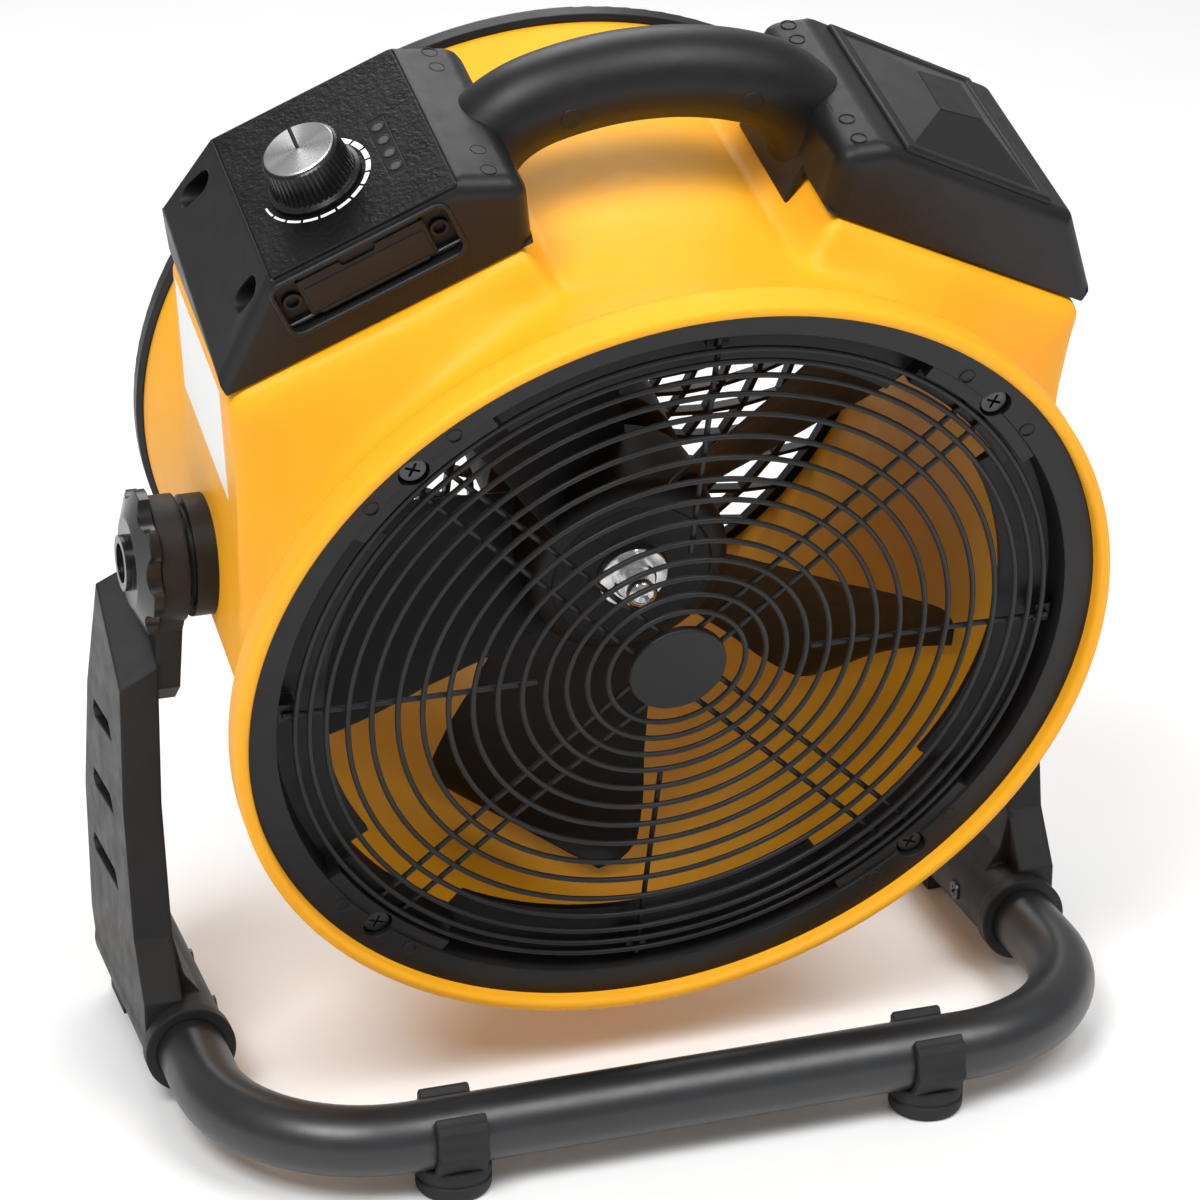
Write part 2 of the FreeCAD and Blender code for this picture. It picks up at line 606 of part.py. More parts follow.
# ---------------------------------------------------------------- battery box (right)
def battery_box():
    rim = -COVER_DROP
    box = with_screw_posts(box_shell())
    box = box.cut(panel_block((-40, PANEL_W + 40), (-5, 110), (rim, 30)))
    box = box.fuse(panel_block((1.0, PANEL_W - 1.0), (1.5, 100), (rim - WALL, rim)).common(box_body(0)))
    box = box.cut(panel_block((6.0, PANEL_W - 6.0), (7.0, 95), (rim - 20, 5)))
    return mirrored(box.removeSplitter())


def battery_cover():
    """Faceted lid: a flat border, then four sloping faces up to a small crown."""
    rim = -COVER_DROP
    border = panel_block((3.5, PANEL_W - 3.5), (4.0, 97.5), (rim, rim + 1.5))
    tongue = panel_block((6.3, PANEL_W - 6.3), (7.3, 94.7), (rim - 3.0, rim))
    foot = ((6.5, 7.0), (PANEL_W - 5.5, 7.0), (PANEL_W - 5.5, 95.0), (6.5, 95.0))
    crown = ((31.0, 38.0), (55.0, 33.0), (54.0, 62.0), (30.0, 66.0))
    sections = []
    for corners, height in ((foot, rim + 1.5), (crown, 3.0)):
        ring = [on_panel(across, along, height) for across, along in corners]
        sections.append(Part.makePolygon(ring + ring[:1]))
    facets = Part.makeLoft(sections, True, True)
    return mirrored(fused([border, tongue, facets]))


def battery_cells():
    cells = []
    for index in range(3):
        across = 20.0 + 20.0 * index
        cells.append(rod(on_panel(across, 14, -21), on_panel(across, 84, -21), 9.2))
    return mirrored(Part.makeCompound(cells))


def battery_terminals():
    tabs = [panel_block((12, 68), (85, 86.5), (-25, -17)), panel_block((12, 68), (11.5, 13), (-25, -17))]
    return mirrored(Part.makeCompound(tabs))


# ---------------------------------------------------------------- handle
def handle():
    """An arched bar whose ends bend down into the two top boxes."""
    shoulder = (45.0, 214.5)
    bend = 53.0
    lean = math.asin(shoulder[0] / 138.75)
    last = 1.42
    y = HANDLE_Y
    edges = []
    for sign in (-1, 1):
        centre = Vector(sign * (shoulder[0] - bend * math.sin(lean)), y, shoulder[1] - bend * math.cos(lean))
        points = [centre + Vector(sign * bend * math.sin(turn), 0, bend * math.cos(turn))
                  for turn in (last, 0.85, lean)]
        edges.append(Part.Arc(*points[::-sign]).toShape())
    crown = Part.Arc(Vector(-shoulder[0], y, shoulder[1]), Vector(0, y, HANDLE_TOP),
                     Vector(shoulder[0], y, shoulder[1])).toShape()
    path = Part.Wire([edges[0], crown, edges[1]])
    start = Vector(-shoulder[0] + bend * (math.sin(lean) - math.sin(last)), y,
                   shoulder[1] + bend * (math.cos(last) - math.cos(lean)))
    section = Part.Wire(Part.makeCircle(HANDLE_R, start, Vector(math.cos(last), 0, math.sin(last))))
    bar = path.makePipeShell([section], True, True)
    for sign in (1, -1):
        flare = Part.makeCone(HANDLE_R, 23.0, 17, Vector(sign * 63.5, 119, 201), Vector(sign * 0.8, 0, -0.6))
        bar = bar.fuse(flare)
    keep = Part.makeBox(170, 90, 70, Vector(-85, 74, 178))
    bar = bar.common(keep)
    shoulder_pod = pod(0, 30, POD_REAR)
    for solid in (box_body(0), mirrored(box_body(0)), shoulder_pod, mirrored(shoulder_pod),
                  rod_y(DRUM_R + 0.3, 40, 200)):
        bar = bar.cut(solid)
    whole = max(bar.Solids, key=lambda solid: solid.Volume)
    return whole.cut(handle_plugs())


def handle_plugs():
    plugs = []
    for sign in (1, -1):
        plugs.append(rod_y(4.6, 96, 104.5, sign * 38.0, 215.5))
    return Part.makeCompound(plugs)


# ---------------------------------------------------------------- pivots
def pivot_bush(side):
    start, end = Vector(side * 174.0, PIVOT_DEPTH, 0), Vector(side * 185.0, PIVOT_DEPTH, 0)
    body = rod(start, end, 26.0)
    body = body.cut(rod(Vector(side * 183.6, PIVOT_DEPTH, 0), end, 30.0).cut(rod(start, end, 22.0)))
    return body.cut(rod(Vector(side * 170, PIVOT_DEPTH, 0), Vector(side * 190, PIVOT_DEPTH, 0), BOLT_R + RUN_GAP))


def pivot_nut(side):
    inner, outer = Vector(side * (DUCT_R + 1.6), PIVOT_DEPTH, 0), Vector(side * 174.0, PIVOT_DEPTH, 0)
    return rod(inner, outer, 9.0).cut(rod(inner - Vector(side * 3, 0, 0), outer + Vector(side, 0, 0),
                                          BOLT_R + RUN_GAP))


def rating_label():
    """Blank label on the flat that runs down from the control box."""
    lean = (BOX_OUT[0] - POD_SIDE[0]) / (BOX_OUT[1] - POD_SIDE[1])
    low, high = [(-POD_SIDE[0] - (z - POD_SIDE[1]) * lean, z) for z in LABEL_Z]
    out = (-0.3, -0.3 * lean)
    return plate_y(LABEL_Y[0], LABEL_Y[1], low, high, (high[0] + out[0], high[1] + out[1]),
                   (low[0] + out[0], low[1] + out[1]))


# ---------------------------------------------------------------- stand (pivot at y = 0)
def stand_arm():
    """The left arm: a thick slotted plate on a tube sleeve, with a pivot boss on top."""
    outline = [(4, 130), (-6, 71), (-22, 47), (-22, 26), (84, 26), (ARM_REAR, 40), (91, 103), (73, 161)]
    outer = [(-2, 188)] + outline + [(40, 221)]
    inner = [(-2, 197)] + outline + [(40, 229)]
    rings = []
    for x, points in ((-ARM_OUT, outer), (-ARM_IN, inner)):
        ring = [Vector(x, y, z) for y, z in points]
        rings.append(Part.makePolygon(ring + ring[:1]))
    plate = Part.makeLoft(rings, True, True)
    neck = plate_x(-BOSS_OUT, -BOSS_IN, (-26.0, 240.0), (-6.0, 215.0), (4.0, 184.0), (16.0, 174.0), (66.0, 174.0),
                   (41.0, 222.0), (24.5, 256.0), (0, 246))
    boss = rod(Vector(-BOSS_OUT - 0.5, 0, PIVOT_Z), Vector(-BOSS_IN, 0, PIVOT_Z), BOSS_R)
    sleeve = rod(Vector(-TUBE_X, MOUTH_Y, TUBE_Z), Vector(-TUBE_X, 86, TUBE_Z), SLEEVE_R)
    collar = rod(Vector(-TUBE_X, MOUTH_Y - 4, TUBE_Z), Vector(-TUBE_X, MOUTH_Y + 3, TUBE_Z), SLEEVE_R + 1.5)
    flare = plate_y(-8, 80, (-ARM_IN - 2, 70), (-ARM_IN, 70), (-ARM_IN + 4, 52), (-TUBE_X + SLEEVE_R - 3, 34),
                    (-TUBE_X + SLEEVE_R - 3, 26), (-ARM_IN - 2, 26))
    arm = fused([plate, neck, boss, sleeve, collar, flare])
    arm = arm.cut(rod(Vector(-TUBE_X, MOUTH_Y - 10, TUBE_Z), Vector(-TUBE_X, 70, TUBE_Z), TUBE_R))
    arm = arm.cut(rod(Vector(-230, 0, PIVOT_Z), Vector(-180, 0, PIVOT_Z), BOLT_R + RUN_GAP))
    for front, rear, low in ((24, 60, 152.0), (28, 68, 115.0), (26, 76, 79.0)):
        slot = plate_x(-ARM_OUT - 1, -ARM_IN + 1, (front + 2, low + 7.0), (front - 2, low + 2), (rear - 2, low - 2),
                       (rear + 2, low + 1.5), (rear - 1, low + 6.5), (front + 4, low + 9))
        arm = arm.cut(slot)
    for y in ARM_SCREW_Y:
        arm = arm.cut(rod(Vector(-TUBE_X, y, TUBE_Z), Vector(-TUBE_X + 30, y, TUBE_Z), 2.0))
        arm = arm.cut(rod(Vector(-TUBE_X + SLEEVE_R - 1.5, y, TUBE_Z), Vector(-TUBE_X + 30, y, TUBE_Z), 4.6))
    return arm.cut(rear_foot())


def arm_screws():
    screws = []
    for y in ARM_SCREW_Y:
        at = Vector(-TUBE_X + SLEEVE_R - 1.5, y, TUBE_Z)
        screws.append(pan_screw(at, Vector(-1, 0, 0), 4.4, 2.4, 2.0, 5.0))
    return Part.makeCompound(screws)


def rear_foot():
    pad = Part.makeBox(22, 28, 12, Vector(-TUBE_X - 12, 58, 0))
    return pad


def front_tube():
    run, leg = TUBE_X - BEND_R, TUBE_FRONT + BEND_R
    corner = BEND_R * (1 - math.sqrt(0.5))
    end = 56.0
    left_end, left_top = Vector(-TUBE_X, end, TUBE_Z), Vector(-TUBE_X, leg, TUBE_Z)
    left_low = Vector(-run, TUBE_FRONT, TUBE_Z)
    edges = [Part.LineSegment(left_end, left_top).toShape(),
             Part.Arc(left_top, Vector(-TUBE_X + corner, TUBE_FRONT + corner, TUBE_Z), left_low).toShape(),
             Part.LineSegment(left_low, Vector(run, TUBE_FRONT, TUBE_Z)).toShape(),
             Part.Arc(Vector(run, TUBE_FRONT, TUBE_Z), Vector(TUBE_X - corner, TUBE_FRONT + corner, TUBE_Z),
                      Vector(TUBE_X, leg, TUBE_Z)).toShape(),
             Part.LineSegment(Vector(TUBE_X, leg, TUBE_Z), Vector(TUBE_X, end, TUBE_Z)).toShape()]
    path = Part.Wire(edges)
    solids = []
    for radius in (TUBE_R, TUBE_R - TUBE_WALL):
        section = Part.Wire(Part.makeCircle(radius, left_end, Vector(0, -1, 0)))
        solids.append(path.makePipeShell([section], True, False))
    tube = solids[0].cut(solids[1])
    for side in (-1, 1):
        for y in ARM_SCREW_Y:
            start = Vector(side * (TUBE_X - TUBE_R - 4), y, TUBE_Z)
            tube = tube.cut(rod(start, start + Vector(side * 8, 0, 0), 2.0))
    return tube


def front_foot(side):
    x = side * FOOT_X
    half = 11.0
    middle = Vector(x - half, TUBE_FRONT, TUBE_Z)
    saddle = rod(middle, middle + X_AXIS * (2 * half), TUBE_R + 4.2)
    pad = Part.makeCone(14.5, 16.5, 3, Vector(x, TUBE_FRONT, 0), Z_AXIS)
    pad = pad.fuse(Part.makeCylinder(16.5, 11, Vector(x, TUBE_FRONT, 3), Z_AXIS))
    foot = saddle.fuse(pad)
    mouth = plate_x(x - 30, x + 30, (TUBE_FRONT - 16, TUBE_Z + 30), (TUBE_FRONT, TUBE_Z),
                    (TUBE_FRONT + 13, TUBE_Z + 30))
    foot = foot.cut(mouth)
    return foot.cut(rod(middle - X_AXIS * 30, middle + X_AXIS * 80, TUBE_R)).removeSplitter()


def tilt_knob():
    """Left scalloped star knob, a cone-faced disc with a socket in its hub."""
    x_in, x_out = -BOSS_OUT - 1.0, -209.0
    count = 7
    body = rod(Vector(x_in, 0, PIVOT_Z), Vector(x_out + 1, 0, PIVOT_Z), 31.5)
    for index in range(count):
        angle = 2 * math.pi * (index + 0.35) / count
        centre = Vector(-230, 38.5 * math.cos(angle), PIVOT_Z + 38.5 * math.sin(angle))
        body = body.cut(rod(centre, centre + X_AXIS * 50, 12.0))
    cone = Part.makeCone(33.0, 14.0, 7.0, Vector(x_out + 6.0, 0, PIVOT_Z), Vector(-1, 0, 0))
    keep = rod(Vector(x_in, 0, PIVOT_Z), Vector(x_out + 6, 0, PIVOT_Z), 40)
    body = body.common(keep.fuse(cone))
    body = body.fuse(rod(Vector(x_in, 0, PIVOT_Z), Vector(x_out - 2.0, 0, PIVOT_Z), 12.0))
    body = body.cut(rod(Vector(x_out - 5, 0, PIVOT_Z), Vector(x_out + 2.5, 0, PIVOT_Z), 8.5))
    return body.cut(rod(Vector(x_out - 5, 0, PIVOT_Z), Vector(-180, 0, PIVOT_Z), BOLT_R))


def tilt_bolt():
    head_x = -209.0 + 2.5
    shank = rod(Vector(head_x, 0, PIVOT_Z), Vector(-DUCT_R - 2.5, 0, PIVOT_Z), BOLT_R)
    head = rod(Vector(head_x, 0, PIVOT_Z), Vector(head_x - 2.2, 0, PIVOT_Z), 7.5)
    socket = Part.Face(Part.makePolygon([
        Vector(head_x - 2.5, 3.2 * math.cos(math.radians(60 * index)),
               PIVOT_Z + 3.2 * math.sin(math.radians(60 * index))) for index in range(7)]))
    return shank.fuse(head).cut(socket.extrude(Vector(2.0, 0, 0)))


def arm_washer():
    start, end = Vector(-BOSS_IN + 0.0, 0, PIVOT_Z), Vector(-BOSS_IN + 1.6, 0, PIVOT_Z)
    return rod(start, end, 16.0).cut(rod(start - X_AXIS, end + X_AXIS, BOLT_R + RUN_GAP))


# ---------------------------------------------------------------- assembly
def tilted(shape):
    """From the head frame to the row frame."""
    placed = shape.copy()
    placed.translate(Vector(0, -PIVOT_DEPTH, 0))
    placed.rotate(ORIGIN, X_AXIS, TILT_DEG)
    placed.translate(Vector(0, PIVOT_Y, PIVOT_Z))
    return placed


def standing(shape):
    """From the stand frame to the row frame."""
    placed = shape.copy()
    placed.translate(Vector(0, PIVOT_Y, 0))
    return placed


def head_nodes():
    nodes = {
        "drum_housing": drum_housing(), "front_ring": front_ring(), "front_grille": front_grille(),
        "grille_badge": grille_badge(), "grille_screws": grille_screws(), "rear_guard": rear_guard(),
        "motor_screws": motor_screws(), "motor_housing": motor_housing(), "motor_end_cover": motor_end_cover(),
        "motor_bearings": motor_bearings(), "motor_stator": motor_stator(), "motor_rotor": motor_rotor(),
        "motor_shaft": motor_shaft(), "fan_blade": fan_blade(), "shaft_collar": shaft_collar(),
        "hub_nut": hub_nut(), "control_box": control_box(), "control_panel": control_panel(),
        "indicator_window": indicator_window(), "indicator_leds": indicator_leds(),
        "indicator_board": indicator_board(), "control_board": control_board(),
        "rating_label": rating_label(),
        "potentiometer": potentiometer(), "knob_shaft": knob_shaft(), "speed_knob": speed_knob(),
        "knob_cap": knob_cap(), "port_cover": port_cover(), "port_cover_pin": port_cover_pin(),
        "usb_port": usb_port(), "dc_jack": dc_jack(), "control_box_screws": box_screws(-1),
        "battery_box": battery_box(), "battery_cover": battery_cover(), "battery_cells": battery_cells(),
        "battery_terminals": battery_terminals(), "battery_box_screws": box_screws(1),
        "handle": handle(), "handle_plugs": handle_plugs(),
        "pivot_bush_left": pivot_bush(-1), "pivot_bush_right": pivot_bush(1),
        "pivot_nut_left": pivot_nut(-1), "pivot_nut_right": pivot_nut(1),
    }
    return {name: tilted(shape) for name, shape in nodes.items()}


def stand_nodes():
    left = {"stand_arm": stand_arm(), "arm_screws": arm_screws(), "rear_foot": rear_foot(),
            "tilt_knob": tilt_knob(), "tilt_bolt": tilt_bolt(), "arm_washer": arm_washer()}
    nodes = {"front_tube": front_tube(), "front_foot_left": front_foot(-1), "front_foot_right": front_foot(1)}
    for name, shape in left.items():
        nodes[name + "_left"] = shape
        nodes[name + "_right"] = mirrored(shape)
    return {name: standing(shape) for name, shape in nodes.items()}


def main():
    os.makedirs("parts", exist_ok=True)
    nodes = head_nodes()
    nodes.update(stand_nodes())
    box = FreeCAD.BoundBox()
    for name, shape in nodes.items():
        solids = shape.Solids
        solid = solids[0] if len(solids) == 1 else Part.makeCompound(solids)
        box.add(solid.BoundBox)
        print(name, len(solids), round(solid.Volume / 1000.0, 2), solid.isValid())
        solid.exportStep("parts/" + name + ".step")
    print("box", [round(value, 2) for value in (box.XMin, box.XMax, box.YMin, box.YMax, box.ZMin, box.ZMax)])


main()
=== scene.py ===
"""Looks of the portable axial air mover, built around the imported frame."""

import json
import math

import bmesh
import bpy
from mathutils import Matrix, Vector


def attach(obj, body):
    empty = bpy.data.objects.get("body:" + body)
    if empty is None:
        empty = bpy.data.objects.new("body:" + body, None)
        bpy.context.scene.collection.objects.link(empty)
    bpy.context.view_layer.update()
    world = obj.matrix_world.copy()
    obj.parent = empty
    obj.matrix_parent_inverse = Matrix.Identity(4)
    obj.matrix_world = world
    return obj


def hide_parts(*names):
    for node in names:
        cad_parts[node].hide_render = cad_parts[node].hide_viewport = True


MM = 0.001

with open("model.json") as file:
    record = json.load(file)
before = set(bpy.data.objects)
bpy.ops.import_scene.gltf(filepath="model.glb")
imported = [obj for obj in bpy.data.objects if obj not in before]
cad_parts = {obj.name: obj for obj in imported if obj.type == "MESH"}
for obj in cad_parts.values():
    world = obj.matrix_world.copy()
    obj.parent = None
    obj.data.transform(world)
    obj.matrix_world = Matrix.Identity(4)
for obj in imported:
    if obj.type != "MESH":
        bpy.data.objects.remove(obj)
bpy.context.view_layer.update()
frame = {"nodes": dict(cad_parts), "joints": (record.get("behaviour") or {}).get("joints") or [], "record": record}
nodes = frame["nodes"]
joints = {joint["name"]: joint for joint in frame["joints"]}

# ------------------------------------------------------------- places from the frame
PIVOT = Vector(joints["head_tilt"]["pos_m"])
FAN_AXIS = Vector(joints["fan_spin"]["axis"])
TILT = math.atan2(FAN_AXIS.z, FAN_AXIS.y)
PIVOT_DEPTH = 120.0
# Head frame in mm: Y runs backwards along the fan axis from the front rim.
HEAD = (Matrix.Translation(PIVOT) @ Matrix.Rotation(TILT, 4, "X")
        @ Matrix.Scale(MM, 4) @ Matrix.Translation((0, -PIVOT_DEPTH, 0)))
# Stand frame in mm: Y is 0 under the pivot, Z is 0 on the floor.
STAND = Matrix.Translation((0, PIVOT.y, 0)) @ Matrix.Scale(MM, 4)
# The speed dial's centre and axis.
DIAL = Vector(joints["dial_turn"]["pos_m"])
DIAL_AXIS = Vector(joints["dial_turn"]["axis"])


# ------------------------------------------------------------- material helpers
class Shader:
    """A node-based material with a few short words for the usual links."""

    def __init__(self, name):
        self.material = bpy.data.materials.new(name)
        self.material.use_nodes = True
        self.tree = self.material.node_tree
        self.surface = self.tree.nodes["Principled BSDF"]
        self.place = self.add("ShaderNodeTexCoord").outputs["Object"]

    def add(self, kind, **settings):
        node = self.tree.nodes.new(kind)
        for key, value in settings.items():
            if key in node.inputs:
                node.inputs[key].default_value = value
            else:
                setattr(node, key, value)
        return node

    def link(self, source, target):
        self.tree.links.new(source, target)

    def noise(self, scale, detail=4.0, roughness=0.55):
        node = self.add("ShaderNodeTexNoise", Scale=scale, Detail=detail, Roughness=roughness)
        self.link(self.place, node.inputs["Vector"])
        return node.outputs["Fac"]

    def spread(self, value, low, high, out_low, out_high):
        node = self.add("ShaderNodeMapRange")
        for key, number in zip(("From Min", "From Max", "To Min", "To Max"), (low, high, out_low, out_high)):
            node.inputs[key].default_value = number
        self.link(value, node.inputs["Value"])
        return node.outputs["Result"]

    def mix(self, share, one, other):
        node = self.add("ShaderNodeMix", data_type="RGBA")
        node.inputs["Factor"].default_value = 0.5
        self.link(share, node.inputs["Factor"])
        for socket, colour in (("A", one), ("B", other)):
            target = [entry for entry in node.inputs if entry.name == socket and entry.type == "RGBA"][0]
            if isinstance(colour, tuple):
                target.default_value = (*colour, 1.0)
            else:
                self.link(colour, target)
        return [entry for entry in node.outputs if entry.type == "RGBA"][0]

    def colour(self, source):
        self.link(source, self.surface.inputs["Base Color"])

    def rough(self, source):
        self.link(source, self.surface.inputs["Roughness"])

    def bump(self, height, distance, edge=0.0):
        node = self.add("ShaderNodeBump", Strength=1.0, Distance=distance)
        self.link(height, node.inputs["Height"])
        if edge:
            soft = self.add("ShaderNodeBevel", samples=4, Radius=edge)
            self.link(soft.outputs["Normal"], node.inputs["Normal"])
        self.link(node.outputs["Normal"], self.surface.inputs["Normal"])


def moulded(name, dark, light, rough_low, rough_high, grain, depth, edge=0.0008, specular=0.3):
    """Injection-moulded plastic: slow colour drift, a fine spark-eroded grain."""
    shader = Shader(name)
    drift = shader.noise(14.0, 3.0)
    shader.colour(shader.mix(shader.spread(drift, 0.3, 0.7, 0.0, 1.0), dark, light))
    patches = shader.noise(90.0, 5.0)
    shader.rough(shader.spread(patches, 0.3, 0.7, rough_low, rough_high))
    shader.bump(shader.noise(grain, 2.0, 0.6), depth, edge)
    shader.surface.inputs["Specular IOR Level"].default_value = specular
    return shader.material


def metal(name, dark, light, rough_low, rough_high, grain, depth):
    shader = Shader(name)
    shader.surface.inputs["Metallic"].default_value = 1.0
    shader.colour(shader.mix(shader.spread(shader.noise(60.0), 0.3, 0.7, 0.0, 1.0), dark, light))
    shader.rough(shader.spread(shader.noise(240.0, 6.0), 0.3, 0.7, rough_low, rough_high))
    shader.bump(shader.noise(grain, 3.0), depth, 0.0003)
    return shader.material


def turned_metal(name, tone, centre, axis):
    """Spun aluminium: fine turned rings about the axis, a fan-shaped painted highlight in the colour, and an
    anisotropic sheen.
    """
    shader = Shader(name)
    shader.surface.inputs["Metallic"].default_value = 1.0
    shader.surface.inputs["Anisotropic"].default_value = 0.85
    offset = shader.add("ShaderNodeVectorMath", operation="DISTANCE")
    shader.link(shader.place, offset.inputs[0])
    offset.inputs[1].default_value = centre
    rings = shader.add("ShaderNodeMath", operation="SINE")
    scaled = shader.add("ShaderNodeMath", operation="MULTIPLY")
    scaled.inputs[1].default_value = 16000.0
    shader.link(offset.outputs["Value"], scaled.inputs[0])
    shader.link(scaled.outputs[0], rings.inputs[0])
    away = shader.add("ShaderNodeVectorMath", operation="SUBTRACT")
    shader.link(shader.place, away.inputs[0])
    away.inputs[1].default_value = centre
    reach = []
    sideways = Vector((0, 1, 0)).cross(axis).normalized()
    for direction in (sideways, sideways.cross(axis).normalized()):
        part = shader.add("ShaderNodeVectorMath", operation="DOT_PRODUCT")
        shader.link(away.outputs[0], part.inputs[0])
        part.inputs[1].default_value = direction
        reach.append(part.outputs["Value"])
    turn = shader.add("ShaderNodeMath", operation="ARCTAN2")
    shader.link(reach[0], turn.inputs[0])
    shader.link(reach[1], turn.inputs[1])
    # Two opposite fans round the axis, lighter and darker: a painted highlight in the colour, fixed on the part
    # whatever the lamps.
    twice = shader.add("ShaderNodeMath", operation="MULTIPLY_ADD")
    shader.link(turn.outputs[0], twice.inputs[0])
    twice.inputs[1].default_value = 2.0
    twice.inputs[2].default_value = 0.6
    painted_highlight_wave = shader.add("ShaderNodeMath", operation="COSINE")
    shader.link(twice.outputs[0], painted_highlight_wave.inputs[0])
    painted_highlight_fan = shader.spread(painted_highlight_wave.outputs[0], -1.0, 1.0, 0.0, 1.0)
    # Both ring tones carry the painted fan highlight.
    light_ring_with_painted_highlight = shader.mix(painted_highlight_fan, tuple(0.62 * part for part in tone), tone)
    dark_ring_with_painted_highlight = shader.mix(painted_highlight_fan, tuple(0.52 * part for part in tone), tuple(0.86 * part for part in tone))
    shader.colour(shader.mix(shader.spread(rings.outputs[0], -1.0, 1.0, 0.0, 1.0), dark_ring_with_painted_highlight, light_ring_with_painted_highlight))
    shader.rough(shader.spread(shader.noise(90.0), 0.3, 0.7, 0.26, 0.29))
    tangent = shader.add("ShaderNodeVectorMath", operation="CROSS_PRODUCT")
    shader.link(away.outputs[0], tangent.inputs[0])
    tangent.inputs[1].default_value = axis
    shader.link(tangent.outputs[0], shader.surface.inputs["Tangent"])
    return shader.material


def paper(name):
    """A blank printed film: near white, a little uneven."""
    shader = Shader(name)
    shader.colour(shader.mix(shader.noise(35.0), (0.80, 0.80, 0.78), (0.88, 0.88, 0.87)))
    shader.rough(shader.spread(shader.noise(120.0), 0.3, 0.7, 0.35, 0.5))
    shader.bump(shader.noise(500.0), 0.00002)
    return shader.material


MATERIALS = {
    "yellow_shell": moulded("yellow_shell", (0.88, 0.385, 0.012), (0.93, 0.42, 0.018), 0.42, 0.52, 1800.0, 0.00005,
                            specular=0.22),
    "black_moulding": moulded("black_moulding", (0.006, 0.006, 0.0065), (0.011, 0.011, 0.012), 0.34, 0.46, 2200.0,
                              0.00009),
    "handle_black": moulded("handle_black", (0.006, 0.006, 0.007), (0.011, 0.011, 0.012), 0.33, 0.43, 2600.0,
                            0.00007),
    "panel_film": moulded("panel_film", (0.002, 0.002, 0.002), (0.006, 0.006, 0.006), 0.26, 0.42, 420.0, 0.00034,
                          specular=0.22),
    "fan_black": moulded("fan_black", (0.007, 0.007, 0.0075), (0.012, 0.012, 0.013), 0.40, 0.52, 1400.0, 0.00005),
    "grille_wire": moulded("grille_wire", (0.008, 0.008, 0.009), (0.014, 0.014, 0.015), 0.33, 0.45, 1800.0, 0.00004),
    "tube_coat": moulded("tube_coat", (0.008, 0.0085, 0.010), (0.012, 0.013, 0.015), 0.33, 0.40, 1500.0, 0.00004,
                         specular=0.7),
    "foot_rubber": moulded("foot_rubber", (0.012, 0.0125, 0.014), (0.022, 0.0225, 0.024), 0.55, 0.72, 1300.0,
                           0.00010),
    "knob_gloss": moulded("knob_gloss", (0.005, 0.005, 0.006), (0.008, 0.008, 0.009), 0.18, 0.26, 1200.0, 0.00002,
                          specular=0.4),
    "arm_black": moulded("arm_black", (0.009, 0.009, 0.0095), (0.015, 0.015, 0.016), 0.42, 0.56, 1700.0, 0.00010,
                         edge=0.002),
    "screw_steel": metal("screw_steel", (0.06, 0.06, 0.065), (0.12, 0.12, 0.125), 0.30, 0.45, 900.0, 0.00003),
    "collar_chrome": metal("collar_chrome", (0.80, 0.80, 0.82), (0.86, 0.86, 0.88), 0.10, 0.14, 300.0, 0.000003),
    "cap_aluminium": turned_metal("cap_aluminium", (0.78, 0.78, 0.79), DIAL, DIAL_AXIS),
    "shaft_steel": metal("shaft_steel", (0.5, 0.5, 0.51), (0.62, 0.62, 0.63), 0.25, 0.4, 900.0, 0.00003),
    "motor_metal": moulded("motor_metal", (0.010, 0.010, 0.011), (0.02, 0.02, 0.021), 0.4, 0.55, 900.0, 0.00006),
    "core_iron": metal("core_iron", (0.20, 0.18, 0.16), (0.30, 0.27, 0.24), 0.45, 0.6, 700.0, 0.00006),
    "magnet": metal("magnet", (0.13, 0.13, 0.14), (0.2, 0.2, 0.21), 0.4, 0.6, 700.0, 0.00006),
    "inlet_metal": metal("inlet_metal", (0.5, 0.5, 0.5), (0.65, 0.65, 0.65), 0.25, 0.4, 700.0, 0.00003),
    "inlet_plastic": moulded("inlet_plastic", (0.006, 0.006, 0.007), (0.012, 0.012, 0.013), 0.3, 0.4, 900.0, 0.00003),
    "brass_nut": metal("brass_nut", (0.55, 0.40, 0.16), (0.72, 0.55, 0.25), 0.25, 0.4, 700.0, 0.00003),
    "window_clear": moulded("window_clear", (0.010, 0.010, 0.011), (0.016, 0.016, 0.017), 0.12, 0.2, 800.0, 0.00002),
    "led_lens": moulded("led_lens", (0.05, 0.048, 0.045), (0.08, 0.078, 0.07), 0.2, 0.3, 800.0, 0.00002),
    "board_green": moulded("board_green", (0.01, 0.05, 0.02), (0.02, 0.08, 0.035), 0.3, 0.45, 500.0, 0.00004),
    "battery_wrap": moulded("battery_wrap", (0.03, 0.12, 0.30), (0.05, 0.16, 0.36), 0.25, 0.35, 500.0, 0.00004),
    "label_white": paper("label_white"),
    "tab_nickel": metal("tab_nickel", (0.55, 0.54, 0.5), (0.68, 0.67, 0.62), 0.25, 0.4, 700.0, 0.00003),
}

bpy.context.scene.view_settings.view_transform = "Standard"

slot_of = {row["node"]: row["material_slot"] for row in frame["record"]["subparts"]}
OTHER_FINISH = {"port_cover_pin": "screw_steel", "stand_arm_left": "arm_black", "stand_arm_right": "arm_black"}
for name, thing in nodes.items():
    material = MATERIALS[OTHER_FINISH.get(name, slot_of[name])]
    thing.data.materials.clear()
    thing.data.materials.append(material)


